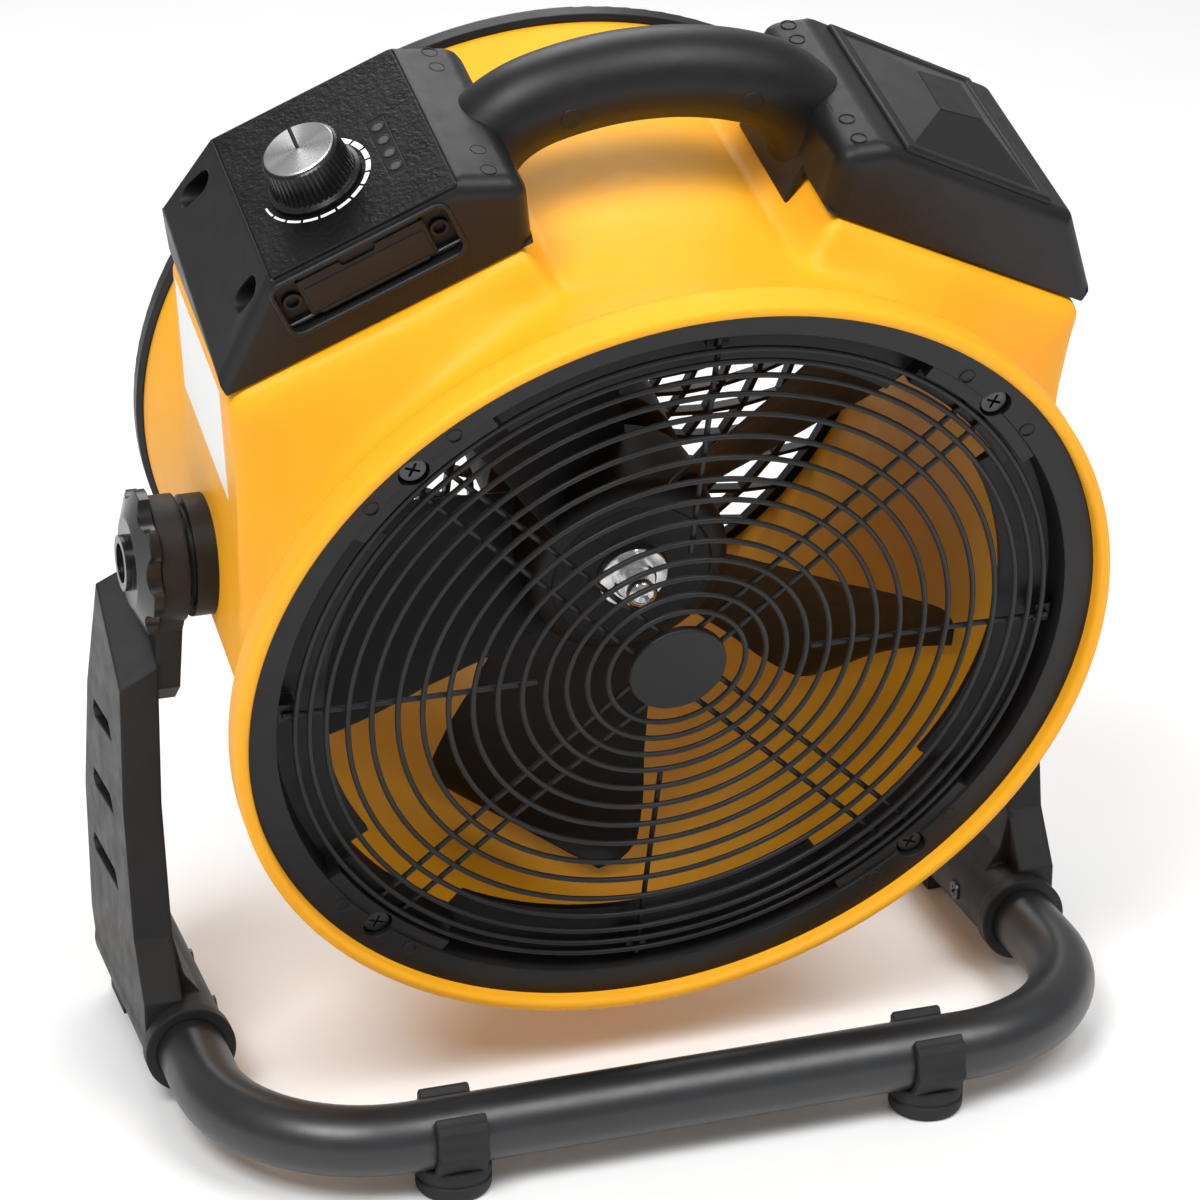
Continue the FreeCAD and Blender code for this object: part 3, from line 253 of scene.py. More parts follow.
# ------------------------------------------------------------- mesh helpers
def add_piece(name, points, faces, place, body, slot, material=None, smooth=True):
    """A mesh given in a local frame in mm; place takes it to the row frame."""
    mesh = bpy.data.meshes.new(name)
    mesh.from_pydata([place @ Vector(point) for point in points], [], faces)
    mesh.validate()
    thing = bpy.data.objects.new(name, mesh)
    bpy.context.scene.collection.objects.link(thing)
    mesh.materials.append(MATERIALS[material or slot])
    mesh.polygons.foreach_set("use_smooth", [smooth] * len(mesh.polygons))
    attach(thing, body)
    return thing


def ring_faces(rings, around, closed_up=True):
    """Quads between rings of the same number of points; the last ring may join the first."""
    faces = []
    for ring in range(rings if closed_up else rings - 1):
        here, there = ring * around, (ring + 1) % rings * around
        for step in range(around):
            nxt = (step + 1) % around
            faces.append((here + step, there + step, there + nxt, here + nxt))
    return faces


def smooth_max(one, other, reach):
    overlap = max(reach - abs(one - other), 0.0) / reach
    return max(one, other) + overlap * overlap * reach / 4


def eased(value, low, high):
    """0 below low, 1 above high, and a smooth ramp between."""
    share = min(max((value - low) / (high - low), 0.0), 1.0)
    return share * share * (3 - 2 * share)


def curve_value(knots, at):
    """A smooth value through (place, value) knots, flat at its ends."""
    for (p0, v0), (p1, v1) in zip(knots, knots[1:]):
        if at <= p1:
            return v0 + (v1 - v0) * min(max((at - p0) / (p1 - p0), 0.0), 1.0)
    return knots[-1][1]


# ------------------------------------------------------------- yellow shell
RIM_R = 190.0
RIM_IN_R = 184.0
DRUM_R = 171.0
DUCT_R = 167.5
DRUM_REAR_R = 177.0
DRUM_REAR_Y = 229.0
POD_FRONT, POD_REAR = 64.0, 166.0
# The pod's outline on the right side, seen from the front, as (x, z) corners.
POD_OUTLINE = ((0.0, 150.0), (52.0, 158.0), (60.5, 183.5), (182.6, 124.0), (175.5, 55.0), (174.0, 25.0),
               (174.0, -26.0), (150.0, -62.0), (0.0, -60.0))
SHELL_AROUND = 480


def outline_radius(angle):
    """Distance from the fan axis to the pod's outline, in a direction seen from the front."""
    along = Vector((abs(math.cos(angle)), math.sin(angle)))
    best = 0.0
    for start, end in zip(POD_OUTLINE, POD_OUTLINE[1:]):
        p, q = Vector(start), Vector(end)
        edge = q - p
        cross = along.x * edge.y - along.y * edge.x
        if abs(cross) < 1e-9:
            continue
        reach = (p.x * edge.y - p.y * edge.x) / cross
        share = (p.x * along.y - p.y * along.x) / cross
        if -1e-9 <= share <= 1 + 1e-9 and reach > best:
            best = reach
    return best


def pod_radius(angle, half_deg=1.6):
    """The outline with its corners rounded by averaging over a few degrees."""
    half = math.radians(half_deg)
    samples = 15 + 2 * int(half_deg)
    total = 0.0
    for index in range(samples):
        total += outline_radius(angle + half * (2 * index / (samples - 1) - 1))
    return total / samples


DRUM_PROFILE = ((0.0, 187.0), (RIM_R - 187.0, RIM_R), (14.0, RIM_R), (17.0, 187.6), (20.5, 181.5), (26.0, 176.6),
                (34.0, 173.6), (44.0, 172.0), (62.0, DRUM_R), (175.0, DRUM_R), (188.0, 171.6), (202.0, 173.2),
                (224.0, DRUM_REAR_R), (DRUM_REAR_Y, DRUM_REAR_R))


def shell_radius(y, pods):
    """The shell's radius at a depth; pods holds the crisp and the softened outline at one angle."""
    drum = curve_value(DRUM_PROFILE, y)
    crisp = eased(y, 52.0, 65.0)
    pod = pods[0] * crisp + pods[1] * (1 - crisp)
    rise = min(eased(y, 22.0, 96.0) * 2.0, 1.0) if y < POD_FRONT else 1.0
    fall = 1.0 - eased(y, POD_REAR - 2.0, POD_REAR + 12.0)
    floor = DRUM_R - 12.0
    pod_here = floor + (pod - floor) * min(rise, fall)
    return smooth_max(drum, pod_here, 7.0)


def drum_shell():
    """The yellow drum, its rim and the two pods as one closed skin."""
    outer = [0.3, 0.9, 1.9, 3.0, 6.5, 10.0, 13.0, 14.6, 16.0, 17.2, 18.6, 20.2, 22.0, 24.0, 26.0, 28.5, 31.0, 34.0]
    outer += [37.0 + 3.0 * step for step in range(44)]
    outer += [168.0 + 1.5 * step for step in range(12)] + [190.0, 197.0, 205.0, 213.0, 220.0, 226.0, 228.6]
    angles = [2 * math.pi * step / SHELL_AROUND for step in range(SHELL_AROUND)]
    pods = [(pod_radius(angle), pod_radius(angle, 19.0)) for angle in angles]
    points = []
    rings = 0
    for y in outer:
        for angle, pod in zip(angles, pods):
            if y < 14.6:
                lip = math.asin(min(max(1.0 - y / 3.0, 0.0), 1.0))
                radius = 187.0 + 3.0 * math.cos(lip)
            else:
                radius = shell_radius(y, pod)
            points.append((radius * math.cos(angle), y, radius * math.sin(angle)))
        rings += 1
    inner = [(DRUM_REAR_R - 0.6, DRUM_REAR_Y), (DUCT_R + 0.6, DRUM_REAR_Y), (DUCT_R, DRUM_REAR_Y - 0.8),
             (DUCT_R, 170.0), (DUCT_R, 110.0), (DUCT_R, 60.0), (DUCT_R, 28.5), (DUCT_R + 0.5, 27.2), (169.0, 27.0),
             (RIM_IN_R - 0.4, 10.0), (RIM_IN_R, 8.6), (RIM_IN_R, 3.6), (184.35, 1.6), (185.1, 0.6), (186.1, 0.05)]
    for radius, y in inner:
        for angle in angles:
            points.append((radius * math.cos(angle), y, radius * math.sin(angle)))
        rings += 1
    shell = add_piece("yellow_drum", points, ring_faces(rings, SHELL_AROUND), HEAD, "head", "yellow_shell")
    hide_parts("drum_housing")


# ------------------------------------------------------------- solids with soft edges
def solid_mesh(name, points, faces):
    mesh = bpy.data.meshes.new(name)
    mesh.from_pydata(points, [], faces)
    thing = bpy.data.objects.new(name, mesh)
    bpy.context.scene.collection.objects.link(thing)
    return thing


def baked(thing):
    """Put the result of the modifiers into the mesh."""
    bpy.context.view_layer.update()
    graph = bpy.context.evaluated_depsgraph_get()
    done = bpy.data.meshes.new_from_object(thing.evaluated_get(graph))
    thing.modifiers.clear()
    thing.data = done
    return thing


def prism(name, outline, start, end):
    """A closed solid between two copies of an outline; start and end turn (u, v) into points."""
    count = len(outline)
    points = [start(u, v) for u, v in outline] + [end(u, v) for u, v in outline]
    faces = [tuple(range(count))[::-1], tuple(range(count, 2 * count))]
    for index in range(count):
        nxt = (index + 1) % count
        faces.append((index, nxt, nxt + count, index + count))
    thing = solid_mesh(name, points, faces)
    tidy = bmesh.new()
    tidy.from_mesh(thing.data)
    bmesh.ops.recalc_face_normals(tidy, faces=tidy.faces)
    tidy.to_mesh(thing.data)
    tidy.free()
    return thing


def bevelled(thing, width, radii, segments=5):
    """Round edges, each by its own radius; radii maps a pair of point numbers to a radius."""
    weights = thing.data.attributes.new("bevel_weight_edge", "FLOAT", "EDGE")
    for edge in thing.data.edges:
        weights.data[edge.index].value = radii.get(tuple(sorted(edge.vertices)), 0.0) / width
    bevel = thing.modifiers.new("soft", "BEVEL")
    bevel.limit_method = "WEIGHT"
    bevel.width = width
    bevel.segments = segments
    bevel.offset_type = "OFFSET"
    return baked(thing)


def rounded(thing, width, angle_deg=50.0):
    """Round every edge sharper than an angle."""
    bevel = thing.modifiers.new("soft", "BEVEL")
    bevel.width = width
    bevel.segments = 3
    bevel.limit_method = "ANGLE"
    bevel.angle_limit = math.radians(angle_deg)
    return baked(thing)


def carved(thing, cutters, operation="DIFFERENCE"):
    for cutter in cutters:
        work = thing.modifiers.new("cut", "BOOLEAN")
        work.operation = operation
        work.solver = "EXACT"
        work.object = cutter
        baked(thing)
        bpy.data.objects.remove(cutter)
    return thing


def rounded_rectangle(low_u, high_u, low_v, high_v, radius, steps=6):
    outline = []
    corners = ((high_u - radius, high_v - radius, 0), (low_u + radius, high_v - radius, 90),
               (low_u + radius, low_v + radius, 180), (high_u - radius, low_v + radius, 270))
    for u, v, start in corners:
        for step in range(steps + 1):
            turn = math.radians(start + 90 * step / steps)
            outline.append((u + radius * math.cos(turn), v + radius * math.sin(turn)))
    return outline


def circle(radius, around=32, u=0.0, v=0.0):
    return [(u + radius * math.cos(2 * math.pi * step / around), v + radius * math.sin(2 * math.pi * step / around))
            for step in range(around)]


def settled(thing, place, body, slot, material=None, mirror=False, sharp=35.0):
    """Take a solid from its local frame to the row frame and give it its finish."""
    flip = Matrix.Scale(-1, 4, (1, 0, 0)) if mirror else Matrix.Identity(4)
    thing.data.transform(place @ flip)
    if mirror:
        thing.data.flip_normals()
    thing.data.materials.clear()
    thing.data.materials.append(MATERIALS[material or slot])
    thing.data.polygons.foreach_set("use_smooth", [True] * len(thing.data.polygons))
    thing.data.set_sharp_from_angle(angle=math.radians(sharp))
    even = thing.modifiers.new("even", "WEIGHTED_NORMAL")
    even.keep_sharp = True
    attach(thing, body)
    return thing


# ------------------------------------------------------------- top boxes
PANEL_OUT = (168.0, 179.0)
PANEL_IN = (94.0, 215.6)
SLOPE = math.atan2(PANEL_IN[1] - PANEL_OUT[1], PANEL_OUT[0] - PANEL_IN[0])
PANEL_W = math.hypot(PANEL_OUT[0] - PANEL_IN[0], PANEL_IN[1] - PANEL_OUT[1])
KNOB_ACROSS, KNOB_ALONG = 32.0, 43.5


def on_panel(across, along, height):
    """A point of the left box, from the front outer corner of its sloping face."""
    return Vector((-PANEL_OUT[0] + across * math.cos(SLOPE) - height * math.sin(SLOPE),
                   POD_FRONT + along,
                   PANEL_OUT[1] + across * math.sin(SLOPE) + height * math.cos(SLOPE)))


def panel_prism(name, outline, low, high):
    """An outline of (across, along) raised between two heights above the sloping face."""
    return prism(name, outline, lambda u, v: on_panel(u, v, low), lambda u, v: on_panel(u, v, high))


def front_prism(name, outline, near, far):
    """An outline of (across, height) pushed along the fan axis."""
    return prism(name, outline, lambda u, v: on_panel(u, near, v), lambda u, v: on_panel(u, far, v))


CONTROL_TOP = [(-168.0, 179.0), (-94.0, 215.6), (-66.0, 213.0), (-61.0, 184.5)]
BATTERY_TOP = [(-171.6, 169.4), (-84.0, 212.7), (-64.5, 211.5), (-61.0, 184.5)]
BATTERY_RIM = -7.0
# Where the boxes' outer walls stand on the pods, at the front and at the rear, as (x, z).
BOX_FOOT_FRONT = [(-183.0, 125.0), (-186.0, 131.0)]
BOX_FOOT_REAR = [(-183.0, 125.0), (-187.0, 148.0)]
# Screw pockets: places along the box, middle heights, half straight length, end radius and floor.
POCKETS_ALONG = (13.6, 87.5)
CONTROL_POCKET_Z, BATTERY_POCKET_Z = 164.0, 158.0
POCKET_HALF, POCKET_R, POCKET_FLOOR = 3.4, 5.4, 166.0
POCKET_LEAN = math.radians(22.8)
# Edge radii, one per outline point, for the front and rear faces and the edges between them.
BOX_FRONT_RADII = (1.0, 5.0, 6.0, 8.0, 8.5, 0.8)
BOX_REAR_RADII = (1.0, 4.0, 4.0, 6.0, 7.0, 0.8)
BOX_LONG_RADII = (1.0, 1.4, 1.6, 3.0, 8.0, 1.0)
BOX_LARGEST_RADIUS = 10.0


def box_solid(name, top):
    """A top box in the left box's place: a long lean-to with large soft ridges."""
    front, rear = BOX_FOOT_FRONT + top, BOX_FOOT_REAR + top
    count = len(front)
    points = [(x, POD_FRONT, z) for x, z in front] + [(x, POD_REAR, z) for x, z in rear]
    faces = [tuple(range(count)), tuple(range(count, 2 * count))[::-1]]
    for index in range(count):
        nxt = (index + 1) % count
        faces.append((index, index + count, nxt + count, nxt))
    thing = solid_mesh(name, points, faces)
    tidy = bmesh.new()
    tidy.from_mesh(thing.data)
    bmesh.ops.recalc_face_normals(tidy, faces=tidy.faces)
    tidy.to_mesh(thing.data)
    tidy.free()

    radii = {}
    for index in range(count):
        nxt = (index + 1) % count
        radii[tuple(sorted((index, nxt)))] = BOX_FRONT_RADII[index]
        radii[tuple(sorted((index + count, nxt + count)))] = BOX_REAR_RADII[index]
        radii[(index, index + count)] = BOX_LONG_RADII[index]
    return bevelled(thing, BOX_LARGEST_RADIUS, radii, 6)


def pocket(along, height):
    """A deep long-hole screw pocket in the outer facet, leaning forwards at the top."""
    lean, half, radius = POCKET_LEAN, POCKET_HALF, POCKET_R
    outline = []
    for end, first in ((1, 0.0), (-1, math.pi)):
        for step in range(17):
            turn = first + math.pi * step / 16
            u, v = radius * math.cos(turn), end * half + radius * math.sin(turn)
            outline.append((POD_FRONT + along + u * math.cos(lean) - v * math.sin(lean),
                            height + u * math.sin(lean) + v * math.cos(lean)))
    return prism("pocket", outline, lambda u, v: Vector((-200.0, u, v)), lambda u, v: Vector((-POCKET_FLOOR, u, v)))


def frame_prism(name, outer, inner, shape, low, high):
    """A flat closed frame between two outlines of the same number of points."""
    count = len(outer)
    points = []
    for level in (low, high):
        points += [shape(u, v, level) for u, v in outer] + [shape(u, v, level) for u, v in inner]
    faces = []
    for index in range(count):
        nxt = (index + 1) % count
        faces.append((index, nxt, nxt + count, index + count))
        faces.append((index + 2 * count, index + 3 * count, nxt + 3 * count, nxt + 2 * count))
        faces.append((index, index + 2 * count, nxt + 2 * count, nxt))
        faces.append((index + count, nxt + count, nxt + 3 * count, index + 3 * count))
    return solid_mesh(name, points, faces)


def control_box():
    box = box_solid("control_case", CONTROL_TOP)
    recess = front_prism("recess", rounded_rectangle(-1.5, 72.5, -29.0, -4.5, 4.0), -4.0, 4.5)
    usb = front_prism("usb", rounded_rectangle(12.0, 26.0, -21.0, -14.0, 0.8, 3), 3.0, 9.0)
    dc = front_prism("dc", circle(5.5, 32, 55.0, -17.5), 3.0, 9.0)
    inset = panel_prism("inset", rounded_rectangle(0.6, PANEL_W - 0.8, 0.8, 99.0, 1.2, 4), -1.2, 9.0)
    bay = panel_prism("bay", rounded_rectangle(56.0, 70.0, 22.0, 66.0, 1.0, 3), -9.0, 2.0)
    bore = panel_prism("bore", circle(12.0, 40, KNOB_ACROSS, KNOB_ALONG), -26.0, 2.0)
    pockets = [pocket(along, CONTROL_POCKET_Z) for along in POCKETS_ALONG]
    carved(box, [recess, usb, dc, inset, bay, bore] + pockets)
    settled(box, HEAD, "head", "black_moulding")
    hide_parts("control_box")
    lip = frame_prism("recess_lip", rounded_rectangle(-3.7, 74.7, -31.2, -2.3, 6.0),
                      rounded_rectangle(-1.5, 72.5, -29.0, -4.5, 4.0),
                      lambda u, v, level: on_panel(u, level, v), 1.5, -1.6)
    rounded(lip, 1.0)
    settled(lip, HEAD, "head", "black_moulding")


LENS_COUNT, LENS_ACROSS, LENS_FIRST, LENS_STEP = 4, 63.0, 29.5, 9.1
LENS_R, LENS_RIM_R = 2.2, 2.9


def control_panel_details():
    """Inset film above the knob's floor, dial print, indicator lenses and the cap's pointer."""
    film = panel_prism("panel_film", rounded_rectangle(1.2, PANEL_W - 1.4, 1.4, 98.4, 1.0, 4), -1.3, -0.1)
    window = panel_prism("window", rounded_rectangle(59.0, 67.0, 24.0, 62.5, 0.8, 3), -3.0, 1.0)
    bore = panel_prism("bore", circle(11.0, 40, KNOB_ACROSS, KNOB_ALONG), -3.0, 1.0)
    carved(film, [window, bore])
    settled(film, HEAD, "head", "panel_film")
    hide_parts("control_panel")
    for index in range(LENS_COUNT):
        along = LENS_FIRST + LENS_STEP * index
        rim = frame_prism("lens_rim", circle(LENS_RIM_R, 28, LENS_ACROSS, along),
                          circle(LENS_R, 28, LENS_ACROSS, along), on_panel, -0.35, 0.0)
        settled(rim, HEAD, "head", "black_moulding")
        lens = panel_prism("lens", circle(LENS_R, 28, LENS_ACROSS, along), -0.35, -0.12)
        settled(lens, HEAD, "head", "led_lens")
    dial_print()
    pointer = panel_prism("pointer", rounded_rectangle(KNOB_ACROSS - 0.8, KNOB_ACROSS + 0.8, KNOB_ALONG,
                                                       KNOB_ALONG + 14.3, 0.3, 3), 17.9, 18.06)
    settled(pointer, HEAD, "speed_dial", "knob_gloss")


DIAL_PRINT_R = 22.3


def dial_print():
    """White dashes round the knob, thicker towards the fast end, with an arrow head there."""
    dashes = 12
    first, last = 184.0, 412.0
    for index in range(dashes):
        begin = first + (last - first) * index / dashes
        finish = begin + (last - first) / dashes * 0.84
        half = 0.45 + 0.85 * index / dashes
        steps = 6
        turns = [math.radians(begin + (finish - begin) * step / steps) for step in range(steps + 1)]
        outline = []
        for radius, sweep in ((DIAL_PRINT_R - half, turns), (DIAL_PRINT_R + half, reversed(turns))):
            outline += [(KNOB_ACROSS + radius * math.cos(turn), KNOB_ALONG + radius * math.sin(turn))
                        for turn in sweep]
        settled(panel_prism("dash", outline, -0.12, 0.0), HEAD, "head", "label_white")
    head = []
    for radius, degrees in ((DIAL_PRINT_R - 2.7, last - 1.0), (DIAL_PRINT_R + 2.7, last - 1.0),
                            (DIAL_PRINT_R, last + 10.0)):
        turn = math.radians(degrees)
        head.append((KNOB_ACROSS + radius * math.cos(turn), KNOB_ALONG + radius * math.sin(turn)))
    settled(panel_prism("arrow", head, -0.12, 0.0), HEAD, "head", "label_white")


def port_door():
    """The hinged cover over the inlets: a thin plate with a stepped top and a finger notch."""
    plate = front_prism("door_plate", rounded_rectangle(8.0, 63.0, -26.1, -8.0, 1.2, 4), 1.6, 3.6)
    upper = front_prism("door_upper", rounded_rectangle(9.5, 61.5, -12.0, -6.2, 1.0, 4), 2.4, 3.6)
    ledge = front_prism("door_ledge", rounded_rectangle(9.5, 61.5, -25.0, -12.5, 0.8, 4), 1.2, 1.8)
    carved(plate, [upper, ledge], "UNION")
    notch = front_prism("door_notch", rounded_rectangle(27.0, 42.0, -10.6, -4.0, 1.6, 4), 0.0, 2.8)
    carved(plate, [notch])
    settled(plate, HEAD, "port_door", "black_moulding")
    barrel = prism("door_barrel", circle(1.4, 24),
                   lambda u, v: on_panel(12.0, 2.4 + u, -26.1 + v), lambda u, v: on_panel(59.0, 2.4 + u, -26.1 + v))
    settled(barrel, HEAD, "port_door", "black_moulding")
    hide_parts("port_cover")
    for across in (3.5, 67.5):
        boss = frame_prism("latch_boss", circle(4.0, 32, across, -16.5), circle(2.6, 32, across, -16.5),
                           lambda u, v, level: on_panel(u, level, v), 4.5, 2.4)
        settled(boss, HEAD, "head", "black_moulding")


def battery_box():
    box = box_solid("battery_case", BATTERY_TOP)
    opening = panel_prism("opening", rounded_rectangle(3.2, PANEL_W - 1.8, 3.8, 97.8, 1.6, 4),
                          BATTERY_RIM - 4.0, 12.0)
    carved(box, [opening] + [pocket(along, BATTERY_POCKET_Z) for along in POCKETS_ALONG])
    settled(box, HEAD, "head", "black_moulding", mirror=True)
    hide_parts("battery_box")
    battery_cover()


def battery_cover():
    """Lid with a raised border and sloping facets up to a small crown."""
    rim = BATTERY_RIM
    border = [(3.5, 4.1), (PANEL_W - 2.1, 4.1), (PANEL_W - 2.1, 97.5), (3.5, 97.5)]
    top = [(4.4, 5.0), (PANEL_W - 3.0, 5.0), (PANEL_W - 3.0, 96.6), (4.4, 96.6)]
    groove = [(8.0, 8.4), (PANEL_W - 7.0, 8.4), (PANEL_W - 7.0, 93.0), (8.0, 93.0)]
    foot = [(8.8, 9.2), (PANEL_W - 7.8, 9.2), (PANEL_W - 7.8, 92.2), (8.8, 92.2)]
    crown = [(31.0, 39.0), (55.0, 33.5), (54.0, 62.0), (30.0, 66.0)]
    levels = ((border, rim - 3.0), (border, rim + 1.2), (top, rim + 2.0), (groove, rim + 2.0), (foot, rim + 1.1),
              (crown, 3.0))
    points = []
    for corners, height in levels:
        points += [on_panel(across, along, height) for across, along in corners]
    faces = ring_faces(len(levels), 4, closed_up=False)
    faces += [(3, 2, 1, 0), tuple(range(len(points) - 4, len(points)))]
    lid = solid_mesh("battery_lid", points, faces)
    rounded(lid, 0.9, 12.0)
    settled(lid, HEAD, "head", "black_moulding", mirror=True, sharp=60.0)
    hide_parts("battery_cover")


# ------------------------------------------------------------- handle
HANDLE_R = 18.5
HANDLE_Y = 119.0
HANDLE_TOP = 222.0
HANDLE_ARC_R = 138.75


def handle_bar():
    """An arched bar; its ends bend down into the boxes and widen there."""
    shoulder_x, shoulder_z, bend, last = 45.0, 214.5, 50.0, 1.45
    lean = math.asin(shoulder_x / HANDLE_ARC_R)
    crown_steps, bend_steps, around = 16, 14, 48
    half = []
    for step in range(bend_steps + 1):
        turn = last + (lean - last) * step / bend_steps
        half.append((shoulder_x + bend * (math.sin(turn) - math.sin(lean)),
                     shoulder_z + bend * (math.cos(turn) - math.cos(lean)), turn))
    for step in range(1, crown_steps):
        turn = lean * (1 - step / crown_steps)
        half.append((HANDLE_ARC_R * math.sin(turn), HANDLE_TOP - HANDLE_ARC_R * (1 - math.cos(turn)), turn))
    stations = half + [(0.0, HANDLE_TOP, 0.0)] + [(-x, z, -turn) for x, z, turn in reversed(half)]
    points = []
    for x, z, turn in stations:
        root = eased(abs(turn), 0.72, last)
        for index in range(around):
            spin = 2 * math.pi * index / around
            up = HANDLE_R * (1.0 + 0.12 * root) * math.cos(spin)
            side = HANDLE_R * (1.0 + 0.5 * root) * math.sin(spin)
            points.append((x + up * math.sin(turn), HANDLE_Y + side, z + up * math.cos(turn)))
    count = len(stations)
    faces = ring_faces(count, around, closed_up=False)
    faces += [tuple(range(around)), tuple(range((count - 1) * around, count * around))[::-1]]
    bar = add_piece("handle_bar", points, faces, HEAD, "head", "handle_black")
    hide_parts("handle")
    for mirror in (False, True):
        handle_root(mirror)


def handle_root(mirror):
    """The plate at the handle's foot, which laps over the pod's inner slope."""
    outline = [(-71.0, 212.5), (-60.3, 185.0), (-54.6, 169.6), (-57.5, 168.4), (-63.5, 184.0), (-76.0, 205.0)]
    plate = prism("handle_root", outline, lambda u, v: Vector((u, 93.5, v)), lambda u, v: Vector((u, 152.0, v)))
    rounded(plate, 1.4, 30.0)
    settled(plate, HEAD, "head", "handle_black", mirror=mirror)


def handle_plugs():
    """Two flush plugs in the bar's front, seen as fine rings."""
    for x in (-38.0, 38.0):
        plug = prism("handle_plug", circle(4.6, 40, x, 215.6),
                     lambda u, v: Vector((u, 100.35, v)), lambda u, v: Vector((u, 104.0, v)))
        rounded(plug, 0.4, 60.0)
        settled(plug, HEAD, "head", "handle_black")
    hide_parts("handle_plugs")


def surface_ring(place, radius, width, along, across, lift=0.12):
    """A hairline ring on a surface, such as a mould's ejector mark; all in head millimetres."""
    out = along.cross(across).normalized()
    around = 32
    points = []
    for reach, height in ((radius - width, -0.3), (radius - width, lift), (radius, lift), (radius, -0.3)):
        for step in range(around):
            turn = 2 * math.pi * step / around
            points.append(place + (along * math.cos(turn) + across * math.sin(turn)) * reach + out * height)
    return points, ring_faces(4, around)


def strip_marks():
    """Ejector marks on the inner strips beside the handle's roots, on both boxes."""
    along = Vector((0, 1, 0))
    for side, top in ((-1, CONTROL_TOP), (1, BATTERY_TOP)):
        inner, outer = Vector((side * -top[2][0], 0, top[2][1])), Vector((side * -top[1][0], 0, top[1][1]))
        across = (outer - inner).normalized()
        middle = (inner + outer) / 2
        for y in (74.0, 88.0, 148.0, 159.0):
            points, faces = surface_ring(Vector((middle.x, y, middle.z)), 3.4, 0.5, across * side, along * -side, 0.1)
            add_piece("ejector_mark", points, faces, HEAD, "head", "black_moulding")


def sheet_faces(rows, columns, base=0, flip=False):
    """Faces that close two equal grids of points, one behind the other, into a thin solid."""
    size = rows * columns
    faces = []
    for i in range(rows - 1):
        for j in range(columns - 1):
            a, b = base + i * columns + j, base + (i + 1) * columns + j
            faces.append((a, b, b + 1, a + 1))
            faces.append((a + size, a + size + 1, b + size + 1, b + size))
    border = [i * columns for i in range(rows)] + [(rows - 1) * columns + j for j in range(1, columns)]
    border += [i * columns + columns - 1 for i in range(rows - 2, -1, -1)] + list(range(columns - 2, 0, -1))
    for here, there in zip(border, border[1:] + border[:1]):
        faces.append((base + here, base + here + size, base + there + size, base + there))
    return [face[::-1] for face in faces] if flip else faces


# ------------------------------------------------------------- impeller
HUB_R, HUB_FRONT, HUB_REAR = 45.0, 72.0, 118.0
BLADE_TIP_R = 159.0
BLADE_COUNT = 5
BLADE_START_DEG = 42.4
BLADE_CORNER_R = 14.0
BLADE_SPREAD = ((38.0, 34.0), (45.0, 31.0), (60.0, 26.0), (80.0, 22.0), (100.0, 19.7), (125.0, 18.5), (145.0, 17.0),
                (BLADE_TIP_R, 15.2))          # radius, half angle in degrees


def blade_points(start_deg, side):
    """One face of a swept, cambered paddle; side picks the front or the rear face."""
    along_steps, across_steps = 30, 24
    points = []
    for i in range(along_steps + 1):
        share = (i / along_steps) ** 0.8
        radius = 40.0 + (BLADE_TIP_R - 40.0) * share
        half = math.radians(curve_value(BLADE_SPREAD, radius)) * radius
        past = max(radius - (BLADE_TIP_R - BLADE_CORNER_R), 0.0)
        half -= BLADE_CORNER_R - math.sqrt(max(BLADE_CORNER_R ** 2 - past ** 2, 0.0))
        front = 76.0 - 18.0 * share
        rear = 113.0 - 4.0 * share
        for j in range(across_steps + 1):
            t = -1 + 2 * j / across_steps
            y = (front + rear) / 2 - t * (rear - front) / 2 + 5.0 * (1 - t * t)
            thick = 1.35 * (1 - t ** 6) * (1 - 0.6 * share ** 8) + 0.25
            angle = math.radians(start_deg) + t * half / radius
            points.append((radius * math.cos(angle), y - side * thick, radius * math.sin(angle)))
    return points, along_steps + 1, across_steps + 1


def impeller():
    """Hub and five paddles as one moulding."""
    points, faces = [], []
    for index in range(BLADE_COUNT):
        start_deg = BLADE_START_DEG + 360.0 / BLADE_COUNT * index
        near, rows, columns = blade_points(start_deg, 1)
        far = blade_points(start_deg, -1)[0]
        faces += sheet_faces(rows, columns, len(points))
        points += near + far
    profile = [(4.0, HUB_FRONT), (15.6, HUB_FRONT), (16.2, HUB_FRONT + 0.9), (35.0, HUB_FRONT + 0.9),
               (36.0, HUB_FRONT), (39.5, HUB_FRONT + 0.6), (42.8, HUB_FRONT + 2.6), (44.6, HUB_FRONT + 5.6),
               (HUB_R, HUB_FRONT + 9.0), (HUB_R, HUB_REAR), (HUB_R - 3, HUB_REAR), (HUB_R - 3, HUB_FRONT + 9.0),
               (37.0, HUB_FRONT + 4.0), (14.0, HUB_FRONT + 4.0), (14.0, HUB_REAR - 4.0), (4.0, HUB_REAR - 4.0)]
    around, base = 96, len(points)
    for radius, y in profile:
        for step in range(around):
            turn = 2 * math.pi * step / around
            points.append((radius * math.cos(turn), y, radius * math.sin(turn)))
    faces += [tuple(base + entry for entry in face) for face in ring_faces(len(profile), around)]
    fan = add_piece("fan_wheel", points, faces, HEAD, "impeller", "fan_black")
    fan.data.set_sharp_from_angle(angle=math.radians(40.0))
    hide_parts("fan_blade")


